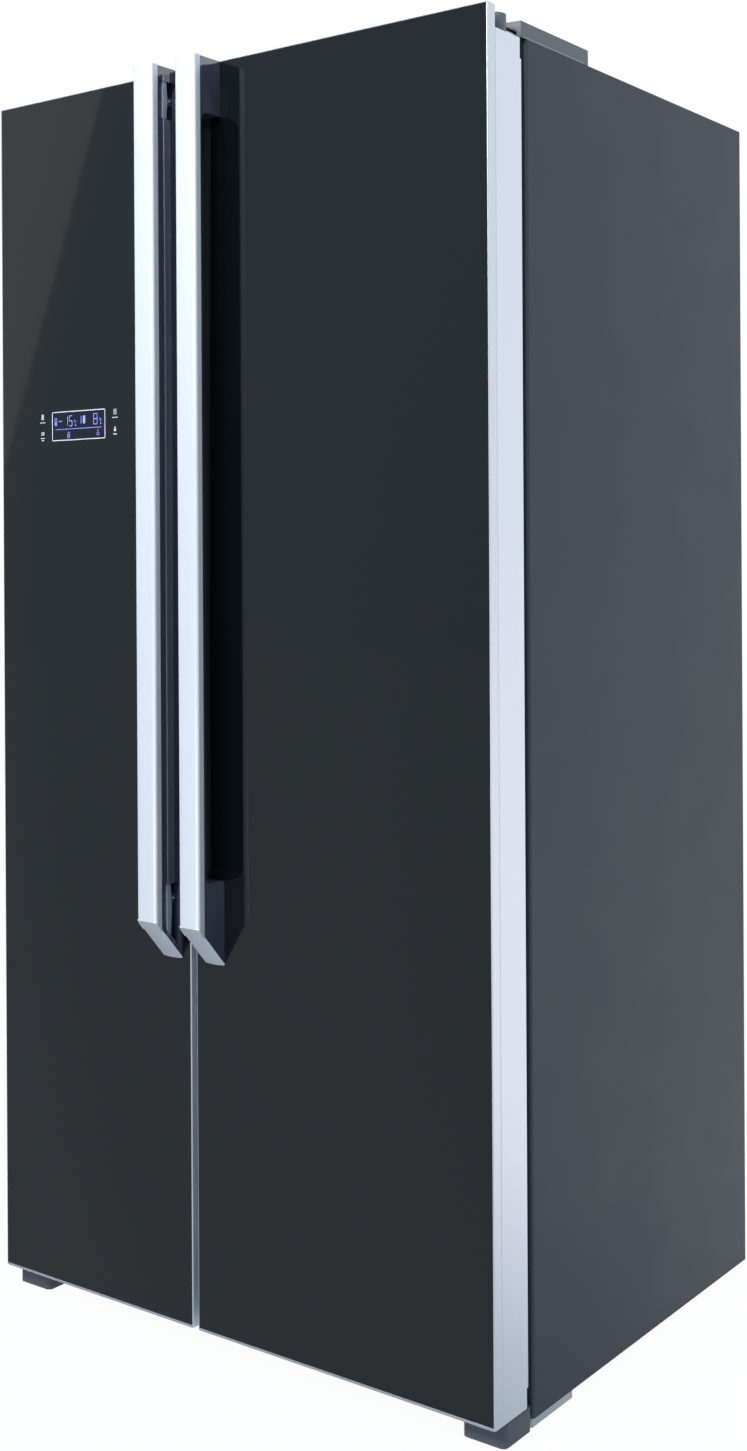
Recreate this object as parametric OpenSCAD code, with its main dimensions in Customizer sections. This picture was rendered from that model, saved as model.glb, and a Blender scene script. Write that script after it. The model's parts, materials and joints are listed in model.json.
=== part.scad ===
// Side by side refrigerator: freezer door on the left, fridge door on the right.
// Millimetres. X to the right as seen from the front, Y to the back, Z up.
// Origin: on the floor, at the middle of the overall width and of the overall depth.

/* [Overall size] */
// Width across the case
body_w = 895; // [745:5:1075]
// Height from the floor to the top of the doors
body_h = 1788; // [1490:1:2146]
// Depth from the handle fronts to the back panel
body_d = 745; // [680:5:895]
// How far the split between the doors lies left of the middle
split_shift = 54.5; // [30:0.5:70]

/* [Case] */
// Height of the side panels' lower edge above the floor
case_lift = 15; // [12:1:25]
// How far the case top lies below the door tops
top_step = 26; // [20:1:40]
// Thickness of the sheet steel
sheet = 1; // [0.8:0.1:1.5]
// Width of the flange folded in at the front edge of each side panel
flange_w = 46; // [40:1:50]
// Outer radius of the fold at the front edge of a side panel
fold_r = 4; // [3:0.5:6]
// Height of the steel strip that the gaskets meet below the compartments
apron_top = 88; // [80:1:95]
// Height of the top panel's front flange
top_flange = 50; // [40:1:58]
// Height of the steel bottom plate above the floor
base_z = 58; // [52:1:70]
// Width of the steel strip between the two compartments
mullion_w = 68; // [60:1:76]
// Insulation from the case side to the freezer liner
foam_freezer = 60; // [50:1:75]
// Insulation from the case side to the fridge liner
foam_fridge = 48; // [47:1:60]
// Insulation over the liners
foam_top = 60; // [50:1:70]
// Insulation behind the liners
foam_back = 55; // [45:1:65]
// Thickness of the case liners
liner_t = 2; // [1.5:0.1:3]
// Height of the compartment floors above the floor
floor_z = 100; // [98:1:115]

/* [Machine compartment] */
// Depth of the machine compartment
machine_d = 222; // [210:1:240]
// Height of the machine compartment's roof above the floor
machine_h = 250; // [245:1:270]
// Thickness of the insulation over and in front of the machine compartment
machine_foam = 45; // [40:1:55]
// Height of the machine base plate above the floor
machine_base_z = 46; // [46:1:55]
// Diameter of the rear rollers
roller_d = 40; // [30:1:42]
// Width of a rear roller
roller_w = 18; // [12:1:24]
// Diameter of the compressor shell
compressor_d = 150; // [120:1:160]
// Height of the compressor shell
compressor_h = 140; // [120:1:145]
// Diameter of the condenser fan
condenser_fan_d = 130; // [100:1:140]

/* [Doors] */
// Thickness of a door from the glass to the inner panel
door_t = 75; // [65:1:90]
// Gap between the door back and the case front, filled by the gasket
door_gap = 12; // [10:0.5:15]
// Gap between the two doors
split_gap = 10; // [8:0.5:14]
// Height of the door bottoms above the floor
door_lift = 35; // [35:1:45]
// Depth of the full height front part of a door
fascia_d = 17; // [12:1:22]
// Gap between the lower rear part of a door top and the case top
door_drop = 2; // [2:0.5:4]
// Thickness of the door glass
glass_t = 4; // [3:0.5:5]
// Wall of the side trims
trim_t = 1.5; // [1:0.1:2]
// Wall of the door end caps
cap_t = 2; // [1.5:0.1:3]
// Wall of the door inner panels
panel_t = 2; // [1.5:0.1:3]
// Distance from a door's outer side to the gasket
gasket_inset = 27; // [25:0.5:28]
// Distance from a door's latch side to the gasket
gasket_latch_inset = 12; // [10:0.5:14]
// Width of the gasket
gasket_w = 16; // [12:0.5:17]
// Gap left between the gasket and the case front
gasket_gap = 0.5; // [0.3:0.1:1]
// Depth of the raised rib around the door inner panel
dyke_d = 55; // [40:1:60]
// Width of that rib
dyke_w = 22; // [18:1:28]
// Clearance between that rib and the compartment walls
dyke_gap = 10; // [9:0.5:14]

/* [Hinges] */
// Distance of the hinge axis from the case side
hinge_in = 17.5; // [16:0.5:22]
// Distance of the hinge axis behind the door front
hinge_back = 42; // [38:0.5:45]
// Diameter of the hinge pins
pin_d = 8; // [6:0.5:10]
// Radial clearance of a pin in its bush
pin_fit = 0.08; // [0.03:0.01:0.1]
// Depth of a hinge pin in its bush
pin_depth = 26; // [20:1:30]
// Thickness of the hinge plates
hinge_t = 3; // [2.5:0.1:4]
// Height of the hinge covers above the case top
cover_h = 20.5; // [16:0.5:24]
// Length of a hinge cover's side, back from the door back
cover_l = 164; // [120:1:200]
// Width of a hinge cover
cover_w = 72; // [60:1:90]
// Radius of the round nose over a hinge pin
nose_r = 14.5; // [13:0.5:15]

/* [Handles] */
// How far the handles stand out from the glass
handle_out = 52; // [40:1:60]
// Width of a handle
handle_w = 37; // [30:1:45]
// Distance from the middle of the split to a handle
handle_in = 21.5; // [15:0.5:30]
// Height at which a handle's slanted foot meets the glass
handle_z = 547; // [450:1:700]
// Height of a handle's slanted foot
handle_foot = 59; // [45:1:80]
// Wall of the aluminium strip
strip_t = 2.5; // [1.5:0.1:3.5]
// Depth of the strip's folded edges
strip_lip = 13; // [6:0.5:16]
// Wall of the plastic handle body
grip_t = 4; // [3:0.5:5]
// Length of the closed block at the top end of a handle
grip_top = 76; // [50:1:90]
// Length of the closed block at the bottom end of a handle
grip_bottom = 117; // [100:1:140]

/* [Inside] */
// Distance from the case front to the fronts of the shelves and drawers
shelf_set = 122; // [118:1:140]
// Number of fridge shelves
fridge_shelf_n = 4; // [2:1:5]
// Number of freezer shelves
freezer_shelf_n = 4; // [3:1:5]
// Thickness of the glass shelves
shelf_t = 5; // [4:0.5:6]
// Height of a drawer
drawer_h = 180; // [140:1:182]
// Distance from the middle of the split to each compartment's wall
split_wall = 36; // [34:1:40]
// Wall of drawers and bins
bin_t = 2.5; // [2:0.1:4]
// Depth of the deep door bins
bin_deep = 105; // [80:1:106]
// Depth of the shallow door bins beside the drawers
bin_shallow = 50; // [40:1:54]
// Height of a door bin
bin_h = 95; // [70:1:110]
// Number of deep bins in each door
bin_n = 4; // [2:1:4]
// Width of the ice maker
ice_w = 150; // [130:1:180]
// Depth of the ice maker
ice_d = 230; // [180:1:260]
// Height of the ice maker
ice_h = 186; // [170:1:190]
// Diameter of the freezer fan
evaporator_fan_d = 100; // [80:1:120]
// Height of the freezer fan's middle above the evaporator's foot
fan_rise = 375; // [300:5:450]
// Depth of the fridge's air duct
duct_d = 30; // [24:1:40]
// Width of the fridge's air duct
duct_w = 230; // [180:5:280]
// Distance from the freezer liner's back to the evaporator cover
evaporator_d = 70; // [64:1:80]

/* [Display] */
// Distance from the freezer door's outer side to the display window
display_in = 110.5; // [90:0.5:140]
// Height of the display window's lower edge above the floor
display_z = 1281; // [1100:1:1400]
// Width of the display window
display_w = 112.4; // [90:0.1:130]
// Height of the display window
display_h = 43; // [35:0.5:55]

/* [Hidden] */
$fn = 64;
clear = 0.5; // running clearance of sliding and hanging pieces
seat = 0.3; // clearance between pieces of different bodies that only come close
tie = 0.2; // clearance between pieces of one body

// Main planes
side = body_w / 2;
y_handle = -body_d / 2;
y_front = y_handle + handle_out;
y_glass = y_front + glass_t;
y_fascia = y_front + fascia_d;
y_inner = y_front + door_t;
y_case = y_inner + door_gap;
y_back = body_d / 2;
y_machine = y_back - machine_d;
y_shelf = y_case + shelf_set;
z_case = body_h - top_step;
z_rear = z_case - door_drop;
split = -split_shift;

// Compartments: [lowest x, highest x]
freezer_x = [-side + foam_freezer + liner_t, split - split_wall];
fridge_x = [split + split_wall, side - foam_fridge - liner_t];
liner_back = y_back - sheet - foam_back - liner_t;
liner_top = z_case - sheet - foam_top - liner_t;
step_y = y_machine - machine_foam;
step_z = machine_h + machine_foam;

// Doors: [lowest x, highest x], and the side the hinge is on
freezer_door = [-side, split - split_gap / 2];
fridge_door = [split + split_gap / 2, side];
hinge_x = side - hinge_in;
hinge_y = y_front + hinge_back;
lower_plate_z = door_lift - 5; // top face of the lower hinge plate
flange_z = lower_plate_z + 1; // the case front's flanges start above that plate

// Drawers and shelves
lower_drawer_z = floor_z + 4;
upper_drawer_z = step_z + 3;
cover_z = upper_drawer_z + drawer_h + 8;
evap_cover_y = liner_back - evaporator_d;
rail_w = 6.5; // how far a ledge stands out from the liner
rail_t = 8; // thickness of a ledge
drawer_hang = 14; // from a drawer's rim down to the underside of its ledge
bin_z0 = cover_z + 24; // the deep bins start above the drawers' covers

// ---------- Shapes that repeat ----------

// A box from its lowest corner to its highest
module span(a, b) {
    translate(a) cube(b - a);
}

// A flat rectangle from its lowest corner to its highest
module span2(a, b) {
    translate(a) square(b - a);
}

// A flat rectangle with round corners
module soft2(a, b, r) {
    span2([a.x + r, a.y], [b.x - r, b.y]);
    span2([a.x, a.y + r], [b.x, b.y - r]);
    for (x = [a.x + r, b.x - r])
        for (y = [a.y + r, b.y - r])
            translate([x, y]) circle(r);
}

// A plan outline raised from z0 to z1
module rise(z0, z1) {
    translate([0, 0, z0]) linear_extrude(z1 - z0) children();
}

// An outline of y and z carried from x0 to x1
module across(x0, x1) {
    translate([x0, 0, 0]) rotate([90, 0, 90]) linear_extrude(x1 - x0) children();
}

// An outline of x and z carried from y0 back to y1
module along(y0, y1) {
    translate([0, y1, 0]) rotate([90, 0, 0]) linear_extrude(y1 - y0) children();
}

// The children, and their mirror image about the middle of the fridge
module both() {
    children();
    mirror([1, 0, 0]) children();
}

// A round bar along X
module bar_x(x0, x1, y, z, d) {
    translate([x0, y, z]) rotate([0, 90, 0]) cylinder(h = x1 - x0, d = d);
}

// A round bar along Y
module bar_y(y0, y1, x, z, d) {
    translate([x, y1, z]) rotate([90, 0, 0]) cylinder(h = y1 - y0, d = d);
}

// Flat fan blades round a hub, the axis along Z, from z = 0 up
module fan(d, depth, blades) {
    cylinder(h = depth, d = d * 0.32);
    for (i = [0:blades - 1])
        rotate(i * 360 / blades)
            translate([d * 0.14, 0, depth / 2])
                rotate([32, 0, 0])
                    linear_extrude(2, center = true)
                        polygon([
                            [0, -depth * 0.55], [d * 0.34, -depth * 0.8], [d * 0.345, depth * 0.1],
                            [d * 0.3, depth * 0.75], [0, depth * 0.55]
                        ]);
}

// ---------- Case ----------

// Right hand side panel: its front edge is folded in, to a flange that starts above the hinge plate
module side_panel() {
    rise(case_lift, z_case) {
        span2([side - sheet, y_case + fold_r], [side, y_back]);
        translate([side - fold_r, y_case + fold_r]) intersection() {
            difference() {
                circle(fold_r);
                circle(fold_r - sheet);
            }
            span2([0, -fold_r], [fold_r, 0]);
        }
    }
    span([side - flange_w, y_case, flange_z], [side - fold_r, y_case + sheet, z_case]);
}

module side_panel_right() {
    color("#4a525c") side_panel();
}

module side_panel_left() {
    color("#4a525c") mirror([1, 0, 0]) side_panel();
}

module top_panel() {
    color("#4a525c") {
        span([-side + sheet, y_case + fold_r, z_case - sheet], [side - sheet, y_back - sheet, z_case]);
        span([-side + flange_w, y_case, z_case - sheet], [side - flange_w, y_case + fold_r, z_case]);
        span([-side + flange_w, y_case, z_case - top_flange],
             [side - flange_w, y_case + sheet, z_case - sheet]);
    }
}

module back_panel() {
    color("#9aa0a6")
        span([-side + sheet, y_back - sheet, machine_h], [side - sheet, y_back, z_case]);
}

// Steel bottom: a plate with an apron at the front, then up and over the machine compartment
module base_pan() {
    color("#6b7178") {
        span([-side + sheet, y_case + fold_r, base_z], [side - sheet, y_machine, base_z + sheet]);
        span([-side + flange_w, y_case, flange_z],
             [side - flange_w, y_case + fold_r, base_z + sheet]);
        span([-side + flange_w, y_case, base_z], [side - flange_w, y_case + sheet, apron_top]);
        span([-side + sheet, y_machine - sheet, base_z + sheet], [side - sheet, y_machine, machine_h]);
        span([-side + sheet, y_machine, machine_h - sheet], [side - sheet, y_back - sheet, machine_h]);
    }
}

module mullion_strip() {
    color("#4a525c")
        span([split - mullion_w / 2, y_case, apron_top],
             [split + mullion_w / 2, y_case + sheet, z_case - top_flange]);
}

// Side outline of a compartment, grown outwards by g on all sides but the front
module liner_side(g) {
    polygon([
        [y_case, floor_z - g], [step_y + g, floor_z - g], [step_y + g, step_z - g],
        [liner_back + g, step_z - g], [liner_back + g, liner_top + g], [y_case, liner_top + g]
    ]);
}

// Outer shape of a liner, without its front lip
module liner_block(x) {
    across(x[0] - liner_t, x[1] + liner_t) liner_side(liner_t);
}

// Ledges that carry the drawers and the shelves of one compartment
module ledges(x, shelf_n, y1) {
    zs = concat(
        [lower_drawer_z + drawer_h - drawer_hang, upper_drawer_z + drawer_h - drawer_hang],
        [for (i = [0:shelf_n]) shelf_z(i, shelf_n) - rail_t - clear]
    );
    for (z = zs) {
        back_y = z < step_z ? step_y - 2 : y1;
        span([x[0] - tie, y_shelf + 4, z], [x[0] + rail_w, back_y, z + rail_t]);
        span([x[1] - rail_w, y_shelf + 4, z], [x[1] + tie, back_y, z + rail_t]);
    }
}

// Height of shelf i: 0 is the cover over the drawers, the others share the space above it
function shelf_z(i, n) = cover_z + i * (liner_top - cover_z) / (n + 1);

// A moulded liner with its front lip out to the steel, and its ledges
module liner(x, lip_x, shelf_n, ledge_back) {
    difference() {
        union() {
            liner_block(x);
            span([lip_x[0], y_case, apron_top + tie],
                 [lip_x[1], y_case + liner_t, z_case - top_flange - tie]);
        }
        across(x[0], x[1]) liner_side(0);
        span([x[0], y_case - 1, floor_z], [x[1], y_case + liner_t + 1, liner_top]);
    }
    ledges(x, shelf_n, ledge_back);
}

module freezer_liner() {
    color("white")
        liner(freezer_x, [-side + flange_w + tie, split - mullion_w / 2 - tie],
              freezer_shelf_n, evap_cover_y - 2);
}

module fridge_liner() {
    color("white")
        liner(fridge_x, [split + mullion_w / 2 + tie, side - flange_w - tie],
              fridge_shelf_n, liner_back - duct_d - 6);
}

// Foam fills all the space between the steel and the liners
module insulation_foam() {
    color("#e8d9a8") difference() {
        across(-side + sheet + tie, side - sheet - tie)
            polygon([
                [y_case + fold_r + tie, base_z + sheet + tie],
                [y_machine - sheet - tie, base_z + sheet + tie],
                [y_machine - sheet - tie, machine_h + tie],
                [y_back - sheet - tie, machine_h + tie],
                [y_back - sheet - tie, z_case - sheet - tie],
                [y_case + fold_r + tie, z_case - sheet - tie]
            ]);
        for (x = [freezer_x, fridge_x])
            across(x[0] - liner_t - tie, x[1] + liner_t + tie) liner_side(liner_t + tie);
    }
}

// ---------- Inside the compartments ----------

// Glass plates lying on the ledges of a compartment
module glass_shelves(x, n, y1) {
    for (i = [0:n])
        span([x[0] + clear, y_shelf, shelf_z(i, n)], [x[1] - clear, y1, shelf_z(i, n) + shelf_t]);
}

module freezer_shelves() {
    color([0.8, 0.9, 0.9, 0.6]) glass_shelves(freezer_x, freezer_shelf_n, evap_cover_y - 4);
}

module fridge_shelves() {
    color([0.8, 0.9, 0.9, 0.6]) glass_shelves(fridge_x, fridge_shelf_n, liner_back - duct_d - 6);
}

// Freezer back wall in front of the evaporator, with air slots and the fan's grille
freezer_mid = (freezer_x[0] + freezer_x[1]) / 2;
fan_z = step_z + fan_rise;
air_slot = [36, 5];
slot_xs = [-96:48:96];
slot_zs = [step_z + 14, step_z + 26, liner_top - 60, liner_top - 48, liner_top - 36];
module freezer_back_cover() {
    color("white") {
        difference() {
            span([freezer_x[0] + tie, evap_cover_y, step_z + tie],
                 [freezer_x[1] - tie, evap_cover_y + 2, liner_top - tie]);
            translate([0, evap_cover_y + 3, 0]) along(-5, 0) {
                translate([freezer_mid, fan_z]) circle(d = evaporator_fan_d + 8);
                for (z = slot_zs, x = slot_xs)
                    translate([freezer_mid + x - air_slot.x / 2, z]) square(air_slot);
            }
        }
        for (i = [-3:3])
            span([freezer_mid - evaporator_fan_d / 2 - 6, evap_cover_y, fan_z + i * 15 - 1.5],
                 [freezer_mid + evaporator_fan_d / 2 + 6, evap_cover_y + 2, fan_z + i * 15 + 1.5]);
    }
}

// Air duct on the fridge's back wall, hollow, with slots at both edges
fridge_mid = (fridge_x[0] + fridge_x[1]) / 2;
duct_wall = 3;
duct_z = [cover_z + 60, liner_top - 50];
module fridge_air_duct() {
    color("white") difference() {
        along(liner_back - duct_d, liner_back - tie)
            soft2([fridge_mid - duct_w / 2, duct_z[0]], [fridge_mid + duct_w / 2, duct_z[1]], 16);
        along(liner_back - duct_d + duct_wall, liner_back + 1)
            soft2([fridge_mid - duct_w / 2 + duct_wall, duct_z[0] + duct_wall],
                  [fridge_mid + duct_w / 2 - duct_wall, duct_z[1] - duct_wall], 16 - duct_wall);
        for (k = [-1, 1], i = [1:fridge_shelf_n + 1])
            span([fridge_mid + k * (duct_w / 2 - 26) - 14, liner_back - duct_d - 1,
                  shelf_z(i, fridge_shelf_n) - 76],
                 [fridge_mid + k * (duct_w / 2 - 26) + 14, liner_back - duct_d + 4,
                  shelf_z(i, fridge_shelf_n) - 70]);
    }
}

// Tube runs joined by return bends, carried through thin fins: the tubes lie along X
module finned_coil(run, rows, pitch, columns, depth, tube_d, fins) {
    for (r = [0:rows - 1], c = [0:columns - 1])
        bar_x(0, run, c * depth, r * pitch, tube_d);
    for (c = [0:columns - 1], r = [0:rows - 2])
        translate([r % 2 == 0 ? run : 0, c * depth, (r + 0.5) * pitch])
            rotate([90, r % 2 == 0 ? 0 : 180, 0])
                rotate([0, 0, -90])
                    rotate_extrude(angle = 180) translate([pitch / 2, 0]) circle(d = tube_d, $fn = 24);
    for (i = [0:fins - 1])
        translate([(i + 0.5) * run / fins - 0.5, -depth / 2 - 4, -pitch / 2])
            cube([1, columns * depth + 8, rows * pitch]);
}

module evaporator_coil() {
    color("silver")
        translate([freezer_x[0] + 30, evap_cover_y + 22, step_z + 30])
            finned_coil(freezer_x[1] - freezer_x[0] - 60, 8, 32, 2, 26, 8, 12);
}

evap_fan_y = evap_cover_y + 5;
fan_depth = 20;
shaft_d = 5;

module evaporator_fan() {
    color("gray") {
        translate([freezer_mid, evap_fan_y, fan_z]) rotate([-90, 0, 0])
            fan(evaporator_fan_d, fan_depth, 5);
        bar_y(evap_fan_y + fan_depth - 1, evap_fan_y + fan_depth + 12, freezer_mid, fan_z, shaft_d);
    }
}

// Motor on a plate that stands off the cover on four posts
module evaporator_fan_motor() {
    post = evaporator_fan_d / 2 + 8;
    plate_y = evap_fan_y + fan_depth + 22;
    color("dimgray") {
        difference() {
            bar_y(evap_fan_y + fan_depth + 2, plate_y, freezer_mid, fan_z, 44);
            bar_y(evap_fan_y + fan_depth, evap_fan_y + fan_depth + 14, freezer_mid, fan_z,
                  shaft_d + 2 * pin_fit);
        }
        span([freezer_mid - post - 5, plate_y, fan_z - post - 5],
             [freezer_mid + post + 5, plate_y + 2, fan_z + post + 5]);
        for (x = [-post, post], z = [-post, post])
            bar_y(evap_cover_y + 2, plate_y, freezer_mid + x, fan_z + z, 7);
    }
}

// ---------- Ice maker on the top freezer shelf ----------

ice_x = freezer_x[0] + rail_w + 12;
ice_y = y_shelf + 52;
ice_z = shelf_z(freezer_shelf_n, freezer_shelf_n) + shelf_t;
ice_wall = 3;
ice_mid = ice_x + ice_w / 2;
tray_axis_z = ice_z + ice_h - 45;
tray_half = ice_w / 2 - 22;
tray_h = 32;
trunnion_d = 14;
ice_box_h = ice_h - 45 - norm([tray_half, tray_h - 10]) - 4;

// Two side walls on the shelf, tied by a front and a rear plate that carry the tray
module ice_frame() {
    color("whitesmoke") difference() {
        union() {
            for (x = [ice_x, ice_x + ice_w - ice_wall])
                span([x, ice_y, ice_z], [x + ice_wall, ice_y + ice_d, ice_z + ice_h]);
            for (y = [ice_y, ice_y + ice_d - ice_wall])
                span([ice_x, y, ice_z + ice_box_h + 4], [ice_x + ice_w, y + ice_wall, ice_z + ice_h]);
        }
        bar_y(ice_y - 1, ice_y + ice_d + 1, ice_mid, tray_axis_z, trunnion_d + 2 * pin_fit);
    }
}

// Twist tray: two rows of cells between trunnions, with a knob in front
module ice_tray() {
    tray_y = [ice_y + ice_wall + 1, ice_y + ice_d - ice_wall - 1];
    cells = 6;
    cell = (tray_y[1] - tray_y[0] - 4) / cells;
    z0 = tray_axis_z - tray_h + 10;
    color("lightsteelblue") {
        difference() {
            span([ice_mid - tray_half, tray_y[0], z0], [ice_mid + tray_half, tray_y[1], z0 + tray_h]);
            for (i = [0:cells - 1], k = [-1, 1])
                translate([ice_mid + (k - 1) * tray_half / 2 + 4, tray_y[0] + 4 + i * cell, z0 + 4])
                    cube([tray_half - 8, cell - 4, tray_h]);
        }
        bar_y(ice_y - 2, tray_y[0] + 1, ice_mid, tray_axis_z, trunnion_d);
        bar_y(tray_y[1] - 1, ice_y + ice_d + 2, ice_mid, tray_axis_z, trunnion_d);
        bar_y(ice_y - 14, ice_y - 2, ice_mid, tray_axis_z, 34);
        span([ice_mid - 3, ice_y - 20, tray_axis_z - 16], [ice_mid + 3, ice_y - 13, tray_axis_z + 16]);
    }
}

// An open box with walls of thickness t
module tub(a, b, t) {
    difference() {
        span(a, b);
        span(a + [t, t, t], [b.x - t, b.y - t, b.z + 1]);
    }
}

module ice_box() {
    color([0.85, 0.92, 0.95, 0.7])
        tub([ice_x + ice_wall + clear, ice_y, ice_z + clear],
            [ice_x + ice_w - ice_wall - clear, ice_y + ice_d - 6, ice_z + ice_box_h], bin_t);
}

// ---------- Drawers ----------

// A drawer hung by side lips on the liner's ledges, with a finger scoop in its front
module drawer(x, y1, z0) {
    x0 = x[0] + rail_w + clear;
    x1 = x[1] - rail_w - clear;
    z1 = z0 + drawer_h;
    difference() {
        union() {
            tub([x0, y_shelf, z0], [x1, y1, z1], bin_t);
            span([x[0] + 1, y_shelf + 8, z1 - 5.5], [x0 + 1, y1, z1 - 2.5]);
            span([x1 - 1, y_shelf + 8, z1 - 5.5], [x[1] - 1, y1, z1 - 2.5]);
        }
        along(y_shelf - 1, y_shelf + bin_t + 1)
            soft2([(x0 + x1) / 2 - 60, z1 - 20], [(x0 + x1) / 2 + 60, z1 + 30], 12);
    }
}

module freezer_drawer_upper() {
    color([0.85, 0.92, 0.95, 0.7]) drawer(freezer_x, evap_cover_y - 6, upper_drawer_z);
}

module freezer_drawer_lower() {
    color([0.85, 0.92, 0.95, 0.7]) drawer(freezer_x, step_y - 4, lower_drawer_z);
}

// Slot for the humidity slider, in the upper crisper's front
slot_x = fridge_x[0] + 70;
slot_z = upper_drawer_z + drawer_h - 36;
slider_travel = 30;
slider_w = 24;

module crisper_drawer_upper() {
    color([0.85, 0.92, 0.95, 0.7]) difference() {
        drawer(fridge_x, liner_back - duct_d - 8, upper_drawer_z);
        span([slot_x, y_shelf - 1, slot_z - 4],
             [slot_x + slider_w + slider_travel, y_shelf + bin_t + 1, slot_z + 4]);
    }
}

module crisper_drawer_lower() {
    color([0.85, 0.92, 0.95, 0.7]) drawer(fridge_x, step_y - 4, lower_drawer_z);
}

module humidity_slider() {
    color("royalblue") {
        span([slot_x + clear, y_shelf - seat - 2, slot_z - 9],
             [slot_x + slider_w - clear, y_shelf - seat, slot_z + 9]);
        span([slot_x + clear, y_shelf - seat - 1, slot_z - 4 + clear],
             [slot_x + slider_w - clear, y_shelf + bin_t + seat + 1, slot_z + 4 - clear]);
        span([slot_x + clear, y_shelf + bin_t + seat, slot_z - 9],
             [slot_x + slider_w - clear, y_shelf + bin_t + seat + 2, slot_z + 9]);
        span([slot_x + slider_w / 2 - 2, y_shelf - seat - 5, slot_z - 7],
             [slot_x + slider_w / 2 + 2, y_shelf - seat - 1, slot_z + 7]);
    }
}

// ---------- Hinges and feet ----------

module top_hinge() {
    rise(z_case, z_case + hinge_t) {
        translate([hinge_x, hinge_y]) circle(11);
        span2([hinge_x - 11, hinge_y], [hinge_x + 11, y_case + 20]);
        soft2([side - cover_w + 8, y_case + 8], [side - 6, y_inner + cover_l - 20], 6);
    }
    translate([hinge_x, hinge_y, z_rear - pin_depth])
        cylinder(h = z_case + hinge_t - z_rear + pin_depth, d = pin_d);
}

module top_hinges() {
    color("silver") both() top_hinge();
}

// Plan outline of a hinge cover, grown by g; its front slants forward from the outer corner
module cover_plan(g) {
    slant = 10;
    polygon([
        [side - seat + g, y_inner - g], [side - seat + g, y_inner + cover_l + g],
        [side - cover_w - g, y_inner + cover_l + g], [side - cover_w - g, y_inner - slant - g]
    ]);
}

module nose_plan(g) {
    translate([hinge_x, hinge_y]) circle(nose_r + g);
}

module link_plan(g) {
    span2([hinge_x - nose_r + 1 - g, hinge_y], [hinge_x + 10.5 + g, y_inner]);
}

module hinge_cover() {
    wall = 1.5;
    difference() {
        union() {
            rise(z_case, z_case + cover_h) cover_plan(0);
            rise(z_case, z_case + cover_h + 1.5) nose_plan(0);
            rise(z_case, z_case + 9) link_plan(0);
        }
        rise(z_case - 1, z_case + cover_h - 2) cover_plan(-2);
        rise(z_case - 1, z_case + cover_h - 1) nose_plan(-2);
        rise(z_case - 1, z_case + 9 - wall) {
            nose_plan(-wall);
            span2([hinge_x - 11.6, hinge_y], [hinge_x + 11.2, y_case + 1]);
        }
    }
}

module hinge_covers() {
    color("#696f78") both() hinge_cover();
}

foot_x = side - 36;
foot_y = y_front + 54;
stem_d = 10;

module lower_hinge() {
    difference() {
        rise(lower_plate_z - hinge_t, lower_plate_z)
            span2([side - 62, y_front + 29], [side - 6, y_case + 98]);
        translate([foot_x, foot_y, 0]) cylinder(h = door_lift, d = stem_d + 2 * pin_fit);
    }
    translate([hinge_x, hinge_y, lower_plate_z - hinge_t])
        cylinder(h = door_lift + pin_depth - lower_plate_z + hinge_t, d = pin_d);
    span([side - 6, y_case + 1, 3], [side - 3, y_case + 98, lower_plate_z]);
    span([side - 62, y_case + 10, lower_plate_z - 1], [side - 59, y_case + 98, base_z]);
}

module lower_hinges() {
    color("gainsboro") both() lower_hinge();
}

module foot_cover() {
    difference() {
        rise(2, door_lift - 2) soft2([side - 67, y_front + 24], [side - 1, y_case - 1], 8);
        rise(1, lower_plate_z) soft2([side - 64, y_front + 27], [side - 4, y_case - 4], 5);
        span([side - 63, y_case - 10, 1], [side - 5, y_case + 1, lower_plate_z]);
        translate([hinge_x, hinge_y, 0]) cylinder(h = door_lift, d = pin_d + 4);
    }
}

module foot_covers() {
    color("#3c3f48") both() foot_cover();
}

module levelling_foot() {
    translate([foot_x, foot_y, 0]) {
        cylinder(h = 2, d1 = 40, d2 = 44);
        translate([0, 0, 2]) cylinder(h = 7, d = 44);
        translate([0, 0, 9]) cylinder(h = lower_plate_z - 9.5, d = stem_d);
    }
}

module levelling_foot_right() {
    color("#2e3036") levelling_foot();
}

module levelling_foot_left() {
    color("#2e3036") mirror([1, 0, 0]) levelling_foot();
}

// ---------- Machine compartment ----------

roller_x = side - 50;
roller_y = y_back - 45;
axle_d = 8;
fork_t = 3;

// Base plate with slots for the rollers and a fork on each side of each roller
module machine_base() {
    base_t = 2;
    slot = [roller_w + 6, roller_d + 8];
    color("gainsboro") {
        difference() {
            span([-side + sheet + tie, y_machine + 6, machine_base_z],
                 [side - sheet - tie, y_back - 8, machine_base_z + base_t]);
            both() span([roller_x - slot.x / 2, roller_y - slot.y / 2, machine_base_z - 1],
                        [roller_x + slot.x / 2, roller_y + slot.y / 2, machine_base_z + base_t + 1]);
        }
        both() for (x = [roller_x - slot.x / 2 - fork_t, roller_x + slot.x / 2])
            difference() {
                span([x, roller_y - 14, roller_d / 2 - 8],
                     [x + fork_t, roller_y + 14, machine_base_z + base_t / 2]);
                bar_x(x - 1, x + fork_t + 1, roller_y, roller_d / 2, axle_d + 2 * pin_fit);
            }
    }
}

module rear_rollers() {
    axle = roller_w + 6 + 2 * fork_t + 4;
    color("#2e3036") both() {
        bar_x(roller_x - roller_w / 2, roller_x + roller_w / 2, roller_y, roller_d / 2, roller_d);
        bar_x(roller_x - axle / 2, roller_x + axle / 2, roller_y, roller_d / 2, axle_d);
    }
}

compressor_x = -205;
compressor_y = y_machine + machine_d / 2 + 4;
compressor_z = machine_base_z + 2;

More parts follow.
